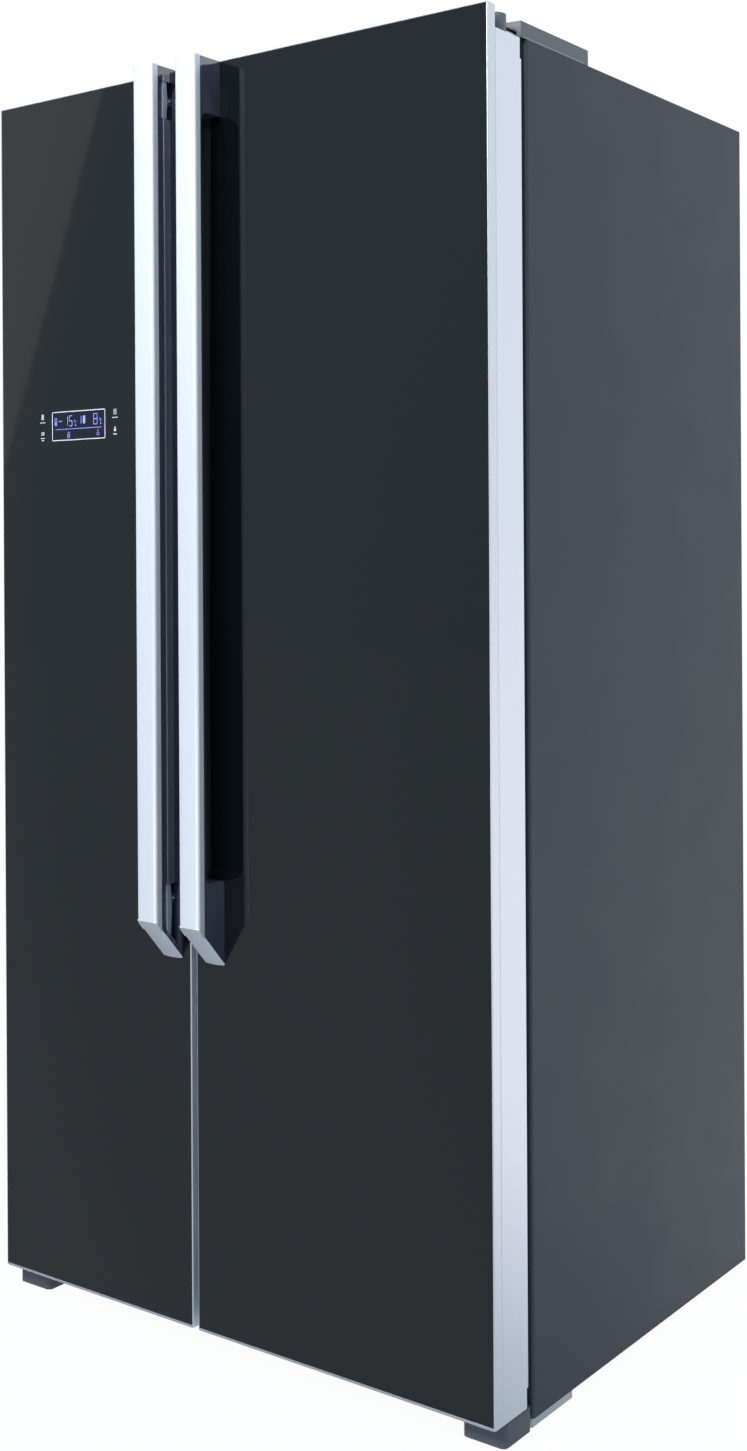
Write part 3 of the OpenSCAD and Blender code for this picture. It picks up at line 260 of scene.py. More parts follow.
def finish(name, colour, rough, metal=0.0, grain_size=1500.0, relief=0.00004, drift=0.10, gloss_drift=0.06,
           stretch=(1.0, 1.0, 1.0), dusty=0.0, **more):
    """A surface finish. Its colour and gloss drift with slow noise, fine grain lifts it by relief metres,
    and dust settles on the faces that look up. stretch lengthens the grain; more sets shader sockets."""
    m = bpy.data.materials.new(name)
    m.use_nodes = True
    t = m.node_tree
    s = t.nodes["Principled BSDF"]
    s.inputs["Metallic"].default_value = metal
    for socket, value in more.items():
        s.inputs[socket.replace("_", " ")].default_value = value
    place = t.nodes.new("ShaderNodeTexCoord")
    run = t.nodes.new("ShaderNodeMapping")
    run.inputs["Scale"].default_value = stretch
    link(t, place.outputs["Object"], run.inputs["Vector"])
    g = t.nodes.new("ShaderNodeGroup")
    g.node_tree = grain
    g.inputs["Size"].default_value = grain_size
    link(t, run.outputs["Vector"], g.inputs["Vector"])
    shade = t.nodes.new("ShaderNodeMix")
    shade.data_type = "RGBA"
    c = np.array(colour[:3])
    shade.inputs[6].default_value = tuple(c * (1.0 - drift)) + (1.0,)
    shade.inputs[7].default_value = tuple(np.minimum(c * (1.0 + drift), 1.0)) + (1.0,)
    link(t, g.outputs["Drift"], shade.inputs[0])
    d = t.nodes.new("ShaderNodeGroup")
    d.node_tree = dust
    d.inputs["Amount"].default_value = dusty
    link(t, place.outputs["Object"], d.inputs["Vector"])
    dusted = t.nodes.new("ShaderNodeMix")
    dusted.data_type = "RGBA"
    dusted.inputs[7].default_value = (0.34, 0.33, 0.31, 1.0)
    link(t, d.outputs["Mask"], dusted.inputs[0])
    link(t, shade.outputs[2], dusted.inputs[6])
    link(t, dusted.outputs[2], s.inputs["Base Color"])
    gloss = t.nodes.new("ShaderNodeMapRange")
    gloss.inputs["To Min"].default_value = max(rough - gloss_drift, 0.0)
    gloss.inputs["To Max"].default_value = min(rough + gloss_drift, 1.0)
    link(t, g.outputs["Drift"], gloss.inputs["Value"])
    link(t, gloss.outputs["Result"], s.inputs["Roughness"])
    bump = t.nodes.new("ShaderNodeBump")
    bump.inputs["Strength"].default_value = 1.0
    bump.inputs["Distance"].default_value = relief
    link(t, g.outputs["Height"], bump.inputs["Height"])
    link(t, bump.outputs["Normal"], s.inputs["Normal"])
    return m


def dress(material, *names):
    """Gives CAD nodes a finish."""
    for n in names:
        for s in cad[n].material_slots:
            s.material = material


def eased(node, width, material, segments=2):
    """A copy of a CAD node, in its place, with its edges of more than 35 degrees rounded by width mm."""
    sharp = math.radians(35)
    bm = bmesh.new()
    bm.from_mesh(cad[node].data)
    bmesh.ops.remove_doubles(bm, verts=bm.verts, dist=1e-6)
    bmesh.ops.dissolve_limit(bm, angle_limit=math.radians(0.5), verts=bm.verts, edges=bm.edges)
    for f in bm.faces:
        f.smooth = True
    mesh = bpy.data.meshes.new(node + "_eased")
    bm.to_mesh(mesh)
    bm.free()
    mesh.set_sharp_from_angle(angle=sharp)
    mesh.materials.append(material)
    piece = bpy.data.objects.new(mesh.name, mesh)
    scene.collection.objects.link(piece)
    rounding = piece.modifiers.new("rounding", "BEVEL")
    rounding.width = width / 1000.0
    rounding.segments = segments
    rounding.limit_method = "ANGLE"
    rounding.angle_limit = sharp
    rounding.harden_normals = True
    rounding.use_clamp_overlap = True
    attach(piece, cad[node]["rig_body"])
    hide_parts(node)
    return piece


def corners(node):
    """Lowest and highest corner of a CAD node in mm."""
    low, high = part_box(node)
    return np.array(low) * 1000.0, np.array(high) * 1000.0


case_paint = finish("case_paint", tone(51, 60, 69), 0.48, grain_size=420.0, relief=0.00005, drift=0.04,
                    dusty=0.10, IOR=1.4)
dress(case_paint, "top_panel", "mullion_strip")
for node in ("side_panel_left", "side_panel_right"):
    eased(node, 0.45, case_paint)
bottom_paint = finish("bottom_paint", tone(90, 96, 104), 0.5, grain_size=500.0, relief=0.00008,
                      dusty=0.15)
dress(bottom_paint, "base_pan")


# ---- The back panel
# Plain galvanised sheet, 1 mm thick, with six shallow pressed ribs that stiffen it. The foam behind it
# holds it.
def piece_of(name, points, faces, material, body, slot, sharp=30.0):
    """A mesh piece from points in mm and faces, turned outwards by the sign of its volume.
    Edges of more than sharp degrees stay sharp."""
    points = np.asarray(points, float).reshape(-1, 3) / 1000.0
    volume = 0.0
    for size in sorted({len(f) for f in faces}):
        f = np.array([q for q in faces if len(q) == size])
        for k in range(1, size - 1):
            a, b, c = points[f[:, 0]], points[f[:, k]], points[f[:, k + 1]]
            volume += float(np.einsum("ij,ij->i", a, np.cross(b, c)).sum())
    if volume < 0.0:
        faces = [tuple(reversed(q)) for q in faces]
    mesh = bpy.data.meshes.new(name)
    mesh.from_pydata(points.tolist(), [], [tuple(int(i) for i in q) for q in faces])
    mesh.shade_smooth()
    mesh.set_sharp_from_angle(angle=math.radians(sharp))
    mesh.materials.append(material)
    piece = bpy.data.objects.new(name, mesh)
    scene.collection.objects.link(piece)
    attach(piece, body)
    return piece


def skin(rows, cols, wrap_rows=False, wrap_cols=False, start=0):
    """Quads over a grid of rows by cols points, joined round where asked."""
    r = np.arange(rows if wrap_rows else rows - 1)
    c = np.arange(cols if wrap_cols else cols - 1)
    r, c = (v.ravel() for v in np.meshgrid(r, c, indexing="ij"))
    r2, c2 = (r + 1) % rows, (c + 1) % cols
    quads = np.stack([r * cols + c, r2 * cols + c, r2 * cols + c2, r * cols + c2], 1) + start
    return [tuple(q) for q in quads.tolist()]


def loft(rings):
    """A closed surface through rings of points, with a flat face on the first and on the last."""
    rings = np.asarray(rings, float)
    n, m = rings.shape[:2]
    ends = [tuple(range(m))[::-1], tuple(range((n - 1) * m, n * m))]
    return rings.reshape(-1, 3), skin(n, m, wrap_cols=True) + ends


def gather(parts):
    """Several closed surfaces as one list of points and one of faces."""
    points, faces, start = [], [], 0
    for p, f in parts:
        p = np.asarray(p, float).reshape(-1, 3)
        points.append(p)
        faces += [tuple(i + start for i in q) for q in f]
        start += len(p)
    return np.concatenate(points), faces


low, high = corners("back_panel")
rib_at = np.array([-350.0, -230.0, -110.0, 110.0, 230.0, 350.0])
rib_half, rib_deep, rib_end = 17.0, 0.6, 105.0
flank, run_out = 12.0, 36.0
xs = np.unique(np.concatenate([[low[0], high[0]], (rib_at[:, None] + np.linspace(-26, 26, 14)).ravel()]))
zs = np.concatenate([np.linspace(low[2], low[2] + 60, 3), low[2] + np.linspace(80, 130, 6),
                     np.linspace(low[2] + 200, high[2] - 200, 6), high[2] - np.linspace(130, 80, 6),
                     np.linspace(high[2] - 60, high[2], 3)])
gx, gz = np.meshgrid(xs, zs)


def rise_of(distance, half, slope):
    """1 inside half a width, 0 outside, with a smooth slope between them."""
    t = np.clip((half - np.abs(distance)) / slope + 0.5, 0.0, 1.0)
    return t * t * (3.0 - 2.0 * t)


along_rib = rise_of(gz - (low[2] + high[2]) / 2, (high[2] - low[2]) / 2 - rib_end, run_out)
pressed = sum(rise_of(gx - r, rib_half, flank) for r in rib_at) * along_rib * rib_deep
outer = np.stack([gx, high[1] - pressed, gz], -1)
inner = np.stack([gx, np.full_like(gx, low[1]), gz], -1)
rows, cols = gx.shape
count = rows * cols
rim = np.concatenate([np.arange(cols), np.arange(1, rows) * cols + cols - 1,
                      (rows - 1) * cols + np.arange(cols - 2, -1, -1), np.arange(rows - 2, 0, -1) * cols])
faces = skin(rows, cols) + [q[::-1] for q in skin(rows, cols, start=count)]
faces += [(int(b), int(a), int(a) + count, int(b) + count) for a, b in zip(rim, np.roll(rim, -1))]
zinc_sheet = finish("zinc_sheet", tone(176, 182, 188), 0.38, metal=1.0, grain_size=260.0, relief=0.00003,
                    drift=0.14, gloss_drift=0.10, dusty=0.2)
both_faces = np.concatenate([outer.reshape(-1, 3), inner.reshape(-1, 3)])
back = piece_of("ribbed_back", both_faces, faces, zinc_sheet, "cabinet", "zinc_steel")
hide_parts("back_panel")


# ---- The insulation
# Polyurethane foam blown between the steel and the liners, and in both doors. It shows nowhere on the
# finished fridge, and has the fine open skin of cut foam.
cut_foam = finish("cut_foam", tone(232, 214, 158), 0.95, grain_size=700.0, relief=0.0006, drift=0.14)
dress(cut_foam, "insulation_foam", "freezer_door_foam", "fridge_door_foam")


# ---- The compartment liners
# Each is one sheet of white polystyrene, vacuum formed with its shelf ledges and with a lip out to the
# steel front, so all its edges are soft.
white_liner = finish("white_liner", tone(238, 240, 240), 0.33, grain_size=900.0, relief=0.00002, drift=0.02)
for node in ("freezer_liner", "fridge_liner"):
    eased(node, 2.4, white_liner)
dress(white_liner, "freezer_back_cover", "fridge_air_duct")


def shine(material, colour, strength):
    """Makes a finish give out light."""
    s = material.node_tree.nodes["Principled BSDF"]
    s.inputs["Emission Color"].default_value = colour + (1.0,)
    s.inputs["Emission Strength"].default_value = strength


led_lens = finish("led_lens", tone(250, 250, 245), 0.5, grain_size=600.0, relief=0.00003, drift=0.02)
shine(led_lens, (1.0, 0.97, 0.9), 2.2)


def rounded(a, b, r, n=6):
    """The points of a rectangle from corner a to corner b with its corners rounded by r."""
    t = np.linspace(0, np.pi / 2, n)
    c, s = np.cos(t), np.sin(t)
    arcs = [np.stack(q, 1) * r for q in ((c, s), (-s, c), (-c, -s), (s, -c))]
    a, b = np.array(a, float), np.array(b, float)
    centres = np.array([b - r, [a[0] + r, b[1] - r], a + r, [b[0] - r, a[1] + r]])
    return np.concatenate([centre + arc for centre, arc in zip(centres, arcs)])


def slab(a, b, r, ease, axis):
    """A plate from corner a to corner b, thick along axis: outline rounded by r, rims by ease."""
    a, b = np.array(a, float), np.array(b, float)
    u, v = [k for k in range(3) if k != axis]
    t = np.linspace(0, np.pi / 2, 4)
    down, inset = ease * (1 - np.sin(t)), ease * (1 - np.cos(t))
    ring = []
    for level_at, q in zip([*(a[axis] + down)[::-1], *(b[axis] - down)], [*inset[::-1], *inset]):
        flat = rounded((a[u] + q, a[v] + q), (b[u] - q, b[v] - q), max(r - q, 0.05))
        p = np.empty((len(flat), 3))
        p[:, u], p[:, v], p[:, axis] = flat[:, 0], flat[:, 1], level_at
        ring.append(p)
    return loft(ring)


lens_half, lens_y, lens_z = 70, (40, 100), (1690.0, 1698.6)
for side, node in (("freezer", "freezer_shelves"), ("fridge", "fridge_shelves")):
    low, high = corners(node)
    middle = (low[0] + high[0]) / 2
    lens = slab((middle - lens_half, low[1] + lens_y[0], lens_z[0]),
                (middle + lens_half, low[1] + lens_y[1], lens_z[1]), 14, 2.5, 2)
    piece_of(side + "_lamp_lens", *lens, led_lens, "cabinet", "white_liner")


# ---- The glass shelves
# Toughened glass plates that lie on the ledges. A white strip with a bright face is clipped over the
# front edge of each one, and ends flush with the glass where the ice box slides over it.
shelf_glass = finish("shelf_glass", tone(226, 240, 236), 0.03, grain_size=300.0, relief=0.000005,
                     drift=0.02, gloss_drift=0.02, Transmission_Weight=0.92, IOR=1.5)
dress(shelf_glass, "freezer_shelves", "fridge_shelves")
strip_white = finish("strip_white", tone(228, 231, 235), 0.28, grain_size=900.0, relief=0.00002, drift=0.02)


def levels(node):
    """The heights in mm at which the plates of a shelf node begin."""
    z = np.array([v.co.z for v in cad[node].data.vertices]) * 1000.0
    z = np.unique(np.round(z, 1))
    return z[::2]


# Sections of the strip, depth behind the glass's front edge and height over its lower face.
gripping = np.array([[-2.6, -2.0], [-3.2, -1.0], [-3.2, 6.2], [-2.6, 7.0], [12.0, 7.0], [12.6, 6.4],
                     [12.0, 5.9], [1.0, 5.9], [0.2, 5.2], [0.2, -0.2], [1.0, -0.9], [12.0, -0.9],
                     [12.6, -1.4], [12.0, -2.0]])
flush = np.array([[-2.6, -2.0], [-3.2, -1.0], [-3.2, 4.4], [-2.6, 5.0], [0.2, 5.0], [0.2, -0.2],
                  [1.0, -0.9], [12.0, -0.9], [12.6, -1.4], [12.0, -2.0]])
for side, node in (("freezer", "freezer_shelves"), ("fridge", "fridge_shelves")):
    low, high = corners(node)
    strips = []
    for z in levels(node):
        under_ice_box = side == "freezer" and z == levels(node)[-1]
        section = flush if under_ice_box else gripping
        ring = [np.column_stack([np.full(len(section), x), low[1] + section[:, 0], z + section[:, 1]])
                for x in (low[0] + 8, high[0] - 8)]
        strips.append(loft(ring))
    piece_of(side + "_shelf_strips", *gather(strips), strip_white, "cabinet", "white_liner")


# ---- Behind the freezer's back wall
# The aluminium evaporator with its fan, which blows through the grille in the white cover. The motor
# hangs on a plate on four posts.
coil_metal = finish("coil_metal", tone(196, 200, 204), 0.34, metal=1.0, grain_size=800.0, relief=0.00005,
                    dusty=0.1)
dress(coil_metal, "evaporator_coil")
motor_plastic = finish("motor_plastic", tone(62, 64, 68), 0.5, grain_size=1200.0, relief=0.00006)
dress(motor_plastic, "evaporator_fan_motor", "condenser_fan_motor")
fan_plastic = finish("fan_plastic", tone(150, 154, 158), 0.42, grain_size=1200.0, relief=0.00004)
dress(fan_plastic, "evaporator_fan", "condenser_fan")


# ---- The ice maker
# A white frame on the top shelf carries a blue tray that is twisted by its knob, over a clear box that
# slides out below.
ice_white = finish("ice_white", tone(236, 240, 242), 0.35, grain_size=1000.0, relief=0.00003, drift=0.02)
eased("ice_frame", 1.0, ice_white)
tray_blue = finish("tray_blue", tone(150, 186, 216), 0.3, grain_size=1000.0, relief=0.00003, drift=0.04)
eased("ice_tray", 0.8, tray_blue)
clear_plastic = finish("clear_plastic", tone(232, 240, 244), 0.09, grain_size=500.0, relief=0.00001,
                       drift=0.02, gloss_drift=0.04, Transmission_Weight=0.86, IOR=1.49)
eased("ice_box", 0.9, clear_plastic)


# ---- The drawers
# Four clear polystyrene drawers hung on the liners' ledges, each with a finger scoop in its front. The
# upper crisper has a blue slider over its air slot.
for node in ("freezer_drawer_upper", "freezer_drawer_lower",
             "crisper_drawer_upper", "crisper_drawer_lower"):
    eased(node, 0.9, clear_plastic)
slider_blue = finish("slider_blue", tone(58, 98, 178), 0.35, grain_size=1200.0, relief=0.00003)
eased("humidity_slider", 0.4, slider_blue)


# ---- The door inner panels, gaskets and bins
# White formed panels with a raised rib, a grey bellows gasket with a magnet strip snapped round each,
# and clear bins between the ribs. The fridge's top bin is the dairy box with its lid.
for node in ("freezer_door_panel", "fridge_door_panel"):
    eased(node, 3.0, white_liner, segments=3)
for node in ("freezer_bins", "fridge_bins"):
    eased(node, 1.0, clear_plastic)
eased("dairy_lid", 0.7, clear_plastic)

gasket_grey = finish("gasket_grey", tone(86, 92, 102), 0.62, grain_size=1400.0, relief=0.00008, dusty=0.1)


def gasket(node):
    """A bellows section carried round a rectangle: at each corner its points move along the diagonal."""
    a, b = corners(node)
    deep, wide = b[1] - a[1], 16.0
    v = np.linspace(0.0, 1.0, 25)
    fold = 1.5 * np.abs(np.sin(np.pi * 2.5 * np.clip(v / 0.72, 0, 1)))
    left = np.column_stack([0.2 + fold, v * deep])
    right = np.column_stack([wide - 0.2 - fold, v * deep])[::-1]
    section = np.concatenate([left, right])
    rings = []
    turns = ((a[0], a[2], 1, 1), (b[0], a[2], -1, 1), (b[0], b[2], -1, -1), (a[0], b[2], 1, -1))
    for x, z, sx, sz in turns:
        ring = [x + sx * section[:, 0], a[1] + section[:, 1], z + sz * section[:, 0]]
        rings.append(np.column_stack(ring))
    rings = np.array(rings)
    return rings.reshape(-1, 3), skin(4, len(section), wrap_rows=True, wrap_cols=True)


for side in ("freezer", "fridge"):
    seal = piece_of(side + "_bellows_gasket", *gasket(side + "_gasket"), gasket_grey, side + "_door",
                    "gasket_rubber", sharp=50)
    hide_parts(side + "_gasket")


# ---- The door glass
# 4 mm glass, printed near black on its back and bonded to the door. Its edge is ground and polished, and the
# thin bright line that edge shows along the bottom is a painted highlight: a strip of bright metal under the
# pane.
door_glass = finish("door_glass", tone(7, 11, 14), 0.035, grain_size=30.0, relief=0.0, drift=0.05,
                    gloss_drift=0.02, IOR=1.52)
rim_metal_painted_highlight = finish("rim_metal_painted_highlight", tone(214, 219, 226), 0.3, metal=1.0, grain_size=900.0, relief=0.00002)
for side in ("freezer", "fridge"):
    a, b = corners(side + "_glass")
    sheet = slab(a + [0, 0, 1.8], b, 0.6, 0.7, 1)
    pane = piece_of(side + "_glass_pane", *sheet, door_glass, side + "_door", "door_glass", sharp=20)
    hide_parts(side + "_glass")
    # The bright metal strip along the bottom of the pane is a painted highlight of the polished edge.
    rim = slab((a[0], a[1] - 0.2, a[2] - 0.1), (b[0], b[1], a[2] + 1.6), 0.3, 0.3, 1)
    piece_of(side + "_glass_rim_painted_highlight", *rim, rim_metal_painted_highlight, side + "_door", "trim_aluminium")


# ---- The door side trims
# Anodised aluminium sections, 1.5 mm thick. The front 17 mm stands up to the door's full height and is
# ribbed, the rest stops at the case top, and its rear end is notched top and bottom.
trim_satin = finish("trim_satin", tone(228, 232, 240), 0.36, metal=0.85, grain_size=1800.0, relief=0.00002,
                    drift=0.03, gloss_drift=0.05, stretch=(1.0, 1.0, 0.02))


def trim(a, b, outward):
    """A plate carried from front to back. At each depth it is a ring of four points, from its lowest to its
    highest, with the outer face set in by the ribs and the rounded front edge. The last 3 mm are notched."""
    thick, nose_r, end_r, foot_r = 1.5, 1.4, 1.5, 2.5
    rib_pitch, rib_deep, groove_deep, notch_high = 3.4, 0.22, 0.35, 26.0
    front, rear = a[1], b[1]
    fascia, notch, top, step = front + 17.0, rear - 3.0, b[2], b[2] - 28.0
    quarter = np.linspace(0, np.pi / 2, 5)
    y = np.concatenate([
        front + nose_r * (1 - np.cos(quarter)), np.linspace(front + 2.4, fascia - 0.8, 29),
        [fascia - 0.01, fascia, fascia + 0.3, fascia + 0.9], np.linspace(fascia + 6, notch - 2, 6),
        notch - end_r * np.cos(quarter), [notch + 0.01, rear - 0.5, rear],
    ])

    def round_off(r, past):
        """How far a corner of radius r has drawn in at each distance past its start."""
        return r - np.sqrt(np.clip(r ** 2 - np.clip(past, 0, r) ** 2, 0, None))

    wave = rib_deep * (0.5 - 0.5 * np.cos((y - front - 2.4) * 2 * np.pi / rib_pitch))
    ribs = np.where((y > front + 2) & (y < fascia - 1), wave, 0.0)
    groove = np.where((y >= fascia - 0.01) & (y < fascia + 0.5), groove_deep, 0.0)
    setin = np.minimum(ribs + round_off(nose_r, front + nose_r - y) + groove, thick - 0.2)
    before = round_off(foot_r, front + foot_r - y)
    ends = np.where(y > notch + 0.005, notch_high, round_off(end_r, y - notch + end_r))
    z1 = np.where(y < fascia - 0.005, top - before * 0.3, step - ends)
    z0 = a[2] + ends + before
    side_x = b[0] if outward > 0 else a[0]
    x_out = side_x - outward * setin
    x_in = np.full(len(y), side_x - outward * thick)
    ring = [np.stack([x, y, z], 1) for x, z in ((x_out, z0), (x_out, z1), (x_in, z1), (x_in, z0))]
    return loft(np.stack(ring, 1))


for side in ("freezer", "fridge"):
    a, b = corners(side + "_trims")
    pair = gather([trim(a, b, -1), trim(a, b, 1)])
    trims = piece_of(side + "_side_trims", *pair, trim_satin, side + "_door", "trim_aluminium", sharp=28)
    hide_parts(side + "_trims")
cap_grey = finish("cap_grey", tone(140, 147, 158), 0.45, grain_size=1300.0, relief=0.00005, dusty=0.15)
for node in ("freezer_end_caps", "fridge_end_caps"):
    eased(node, 0.5, cap_grey)


# ---- The bar handles
# An aluminium strip, brushed lengthways, with a crowned front and folded edges, mitred at its slanted
# foot. It is clipped over a polished black body with a finger recess.
handle_brushed = finish("handle_brushed", tone(226, 230, 239), 0.36, metal=0.5, grain_size=2600.0,
                        relief=0.00002, drift=0.03, gloss_drift=0.05, stretch=(1.0, 1.0, 0.02))
handle_black = finish("handle_black", tone(60, 66, 82), 0.06, grain_size=60.0, relief=0.0, drift=0.05,
                      gloss_drift=0.03, IOR=2.5)
fold_depth = 13.0
knee, foot = 606.0, 547.0


def handle_strip(a, b):
    """Two sections carried along a path, where each station has its own direction for depth. A channel,
    crowned in front and rounded at its corners, goes down the upright to a cut along the foot's line. A
    crowned plate goes from the knee's mitre down the slanted foot to the glass."""
    thick, crown, r, plate_r = 2.5, 0.6, 5.0, 1.6
    half, middle, out = (b[0] - a[0]) / 2, (a[0] + b[0]) / 2, b[1] - a[1]
    t = np.linspace(0, np.pi / 2, 6)
    u = np.linspace(0, 1, 7)
    front = [np.concatenate([np.column_stack([u * (half - q), crown * u ** 2]),
                             np.column_stack([half - q + q * np.sin(t), crown + q * (1 - np.cos(t))])[1:]])
             for q in (r, plate_r)]
    flange = [[half, fold_depth - 0.4], [half - 0.4, fold_depth], [half - thick + 0.3, fold_depth],
              [half - thick, fold_depth - 0.3], [half - thick, crown + r + 0.6],
              [half - thick - 0.9, thick + 1.3], [half - thick - 2.6, thick + 0.1], [0.0, thick]]
    channel = np.concatenate([front[0], flange])
    plate = np.concatenate([front[1], [[half - 0.3, thick], [0.0, thick]]]) * [1 - 0.05 / half, 1]
    drop = (knee - foot) / out
    k = math.hypot(out, knee - foot) / out
    halfway = 1200.0
    upright = [(a[1], b[2] - 0.01, 1.0, 0.0), (a[1], halfway, 1.0, 0.0), (a[1], knee + 0.15, 1.0, -drop)]
    slanted = [(a[1], knee, 1.0, k - drop), (b[1] - 0.3, foot + 0.34, 0.0, k)]
    parts = []
    for half_section, stations in ((channel, upright), (plate, slanted)):
        x, depth = np.concatenate([half_section, half_section[1:-1][::-1] * [-1, 1]]).T
        parts.append(loft([np.column_stack([middle + x, y + dy * depth, z + dz * depth])
                           for y, z, dy, dz in stations]))
    return gather(parts)


screw_steel = finish("screw_steel", tone(196, 200, 206), 0.25, metal=1.0, grain_size=900.0, relief=0.00002)
# The light grey of the pocket ribs is painted light, which lifts the shaded end pockets.
rib_painted_light = finish("rib_painted_light", tone(150, 160, 178), 0.3, metal=0.3, grain_size=1200.0, relief=0.00003)


def screw_head(centre, r, thick, outward):
    """A pan head: a quarter round turned about X, with a cross recess left as a small dished centre."""
    t = np.linspace(0, np.pi / 2, 5)
    profile = [(r, 0.0)] + [(r - thick * 0.8 * (1 - math.cos(q)), thick * math.sin(q)) for q in t] + \
        [(r * 0.35, thick), (r * 0.22, thick * 0.55), (r * 0.02, thick * 0.5)]
    w = np.linspace(0, 2 * np.pi, 20, endpoint=False)
    x, y, z = centre
    return loft([np.column_stack([np.full(20, x + outward * h), y + q * np.cos(w), z + q * np.sin(w)])
                 for q, h in profile])


# Ribs in the end pockets, as stations of height, depth behind the strip's front, and thickness. Their light
# grey is painted light: it lifts the end pockets, which stand in shade, to a lit grey.
rib_stations = (
    ((1715.0, 27.5, 7.5), (1740.0, 28.8, 10.0), (1769.0, 27.8, 7.5)),
    ((584.0, 27.8, 7.5), (625.0, 28.8, 10.0), (656.5, 27.5, 7.5)),
)
pocket_deep, rib_rim, screw_deep, head_deep = 22.2, 1.0, 42.5, 9.4
screw_heights = (1744.0, 633.0)
for side, facing in (("freezer", 1), ("fridge", -1)):
    a, b = corners(side + "_handle_strip")
    strip = piece_of(side + "_brushed_strip", *handle_strip(a, b), handle_brushed, side + "_door",
                     "handle_aluminium", sharp=32)
    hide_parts(side + "_handle_strip")
    eased(side + "_handle_body", 0.8, handle_black)
    inner_x = (b[0] if facing > 0 else a[0]) - facing * 0.5
    x0, x1 = sorted((inner_x - facing * pocket_deep, inner_x - facing * rib_rim))
    inside = []
    for stations in rib_stations:
        rings = [rounded((x0, a[1] + mid - deep / 2), (x1, a[1] + mid + deep / 2), 1.0)
                 for z, mid, deep in stations]
        inside.append(loft([np.column_stack([ring, np.full(len(ring), z)])
                            for ring, (z, mid, deep) in zip(rings, stations)]))
    piece_of(side + "_handle_ribs_painted_light", *gather(inside), rib_painted_light, side + "_door", "handle_plastic")
    seats = [(a[1] + screw_deep, z) for z in screw_heights]
    bosses = [screw_head((inner_x - facing * pocket_deep, y, z), 4.2, 13.0, facing) for y, z in seats]
    piece_of(side + "_screw_bosses", *gather(bosses), handle_black, side + "_door", "handle_plastic")
    heads = [screw_head((inner_x - facing * head_deep, y, z), 2.4, 4.2, facing) for y, z in seats]
    piece_of(side + "_handle_screws", *gather(heads), screw_steel, side + "_door", "screw_steel")


# ---- The display
# A touch panel behind the freezer door's glass: lit figures in a thin white frame, with four touch marks
# beside it, all printed on the panel and seen at the glass.
dress(finish("display_board", tone(28, 30, 36), 0.4, grain_size=900.0, relief=0.00003), "display_unit")
print_white = finish("print_white", tone(190, 194, 204), 0.5, grain_size=1500.0, relief=0.0, drift=0.05)
shine(print_white, (0.8, 0.83, 0.9), 0.12)
lit_violet = finish("lit_violet", tone(120, 124, 215), 0.5, grain_size=1500.0, relief=0.0, drift=0.05)
shine(lit_violet, (0.24, 0.26, 0.85), 0.8)
window_navy = finish("window_navy", tone(9, 10, 27), 0.05, grain_size=200.0, relief=0.0, drift=0.10,
                     gloss_drift=0.02)
a, b = corners("display_unit")
border = 8.0
left, base = a[0] + border, a[2] + border
wide, tall = b[0] - a[0] - 2 * border, b[2] - a[2] - 2 * border
face = corners("freezer_glass")[0][1]
film, sunk = 0.12, 0.02


def bar(x0, z0, x1, z1):
    """A thin printed bar on the glass, its corners in mm from the window's lower left corner."""
    low, high = (left + x0, face - film, base + z0), (left + x1, face + sunk, base + z1)
    return slab(low, high, min(x1 - x0, z1 - z0) * 0.3, 0.03, 1)


def outline(x0, z0, x1, z1, r, line):
    """A thin printed frame, an outer and an inner rounded outline joined round, from the same corner."""
    shift = np.array([left, base])
    o = rounded((x0, z0), (x1, z1), r) + shift
    i = rounded((x0 + line, z0 + line), (x1 - line, z1 - line), max(r - line, 0.05)) + shift
    rings = np.array([np.column_stack([q[:, 0], np.full(len(q), y), q[:, 1]])
                      for q, y in ((o, face + sunk), (o, face - film), (i, face - film), (i, face + sunk))])
    return rings.reshape(-1, 3), skin(4, rings.shape[1], wrap_rows=True, wrap_cols=True)


def figure(digit, x0, z0, x1, z1, line=0.9):
    """The lit segments of one figure between two corners, as bars."""
    on = {"1": "bc", "5": "afgcd", "8": "abcdefg", "C": "afed"}[digit]
    m, g = (z0 + z1) / 2, 0.25
    place = {
        "a": (x0 + g, z1 - line, x1 - g, z1), "d": (x0 + g, z0, x1 - g, z0 + line),
        "g": (x0 + g, m - line / 2, x1 - g, m + line / 2), "b": (x1 - line, m + g, x1, z1 - g),
        "c": (x1 - line, z0 + g, x1, m - g), "f": (x0, m + g, x0 + line, z1 - g),
        "e": (x0, z0 + g, x0 + line, m - g),
    }
    return [bar(*place[q]) for q in on]


glass_window = slab((left, face - film / 2, base), (left + wide, face + sunk, base + tall), 2.2, 0.03, 1)
piece_of("display_window", *glass_window, window_navy, "freezer_door", "display_plastic")
glowing = figure("1", 31.7, 21.6, 34.0, 35.4) + figure("5", 36.6, 20.6, 43.3, 36.4)
glowing += figure("C", 49.0, 20.8, 52.8, 27.6, 0.7)
glowing += figure("8", 88.0, 21.2, 96.2, 37.2) + figure("C", 102.2, 21.2, 105.8, 28.4, 0.7)
glowing += [outline(46.8, 27.8, 48.8, 29.8, 0.9, 0.5), outline(100.0, 28.4, 102.0, 30.4, 0.9, 0.5)]
glowing += [bar(14.3, 28.2, 21.9, 29.2), outline(6.0, 22.4, 10.5, 33.6, 1.2, 0.8),
            bar(7.4, 24.0, 9.1, 28.0), bar(66.0, 23.3, 70.6, 35.0), bar(61.6, 23.3, 62.5, 35.0),
            bar(7.5, 16.4, 104.8, 17.1)]
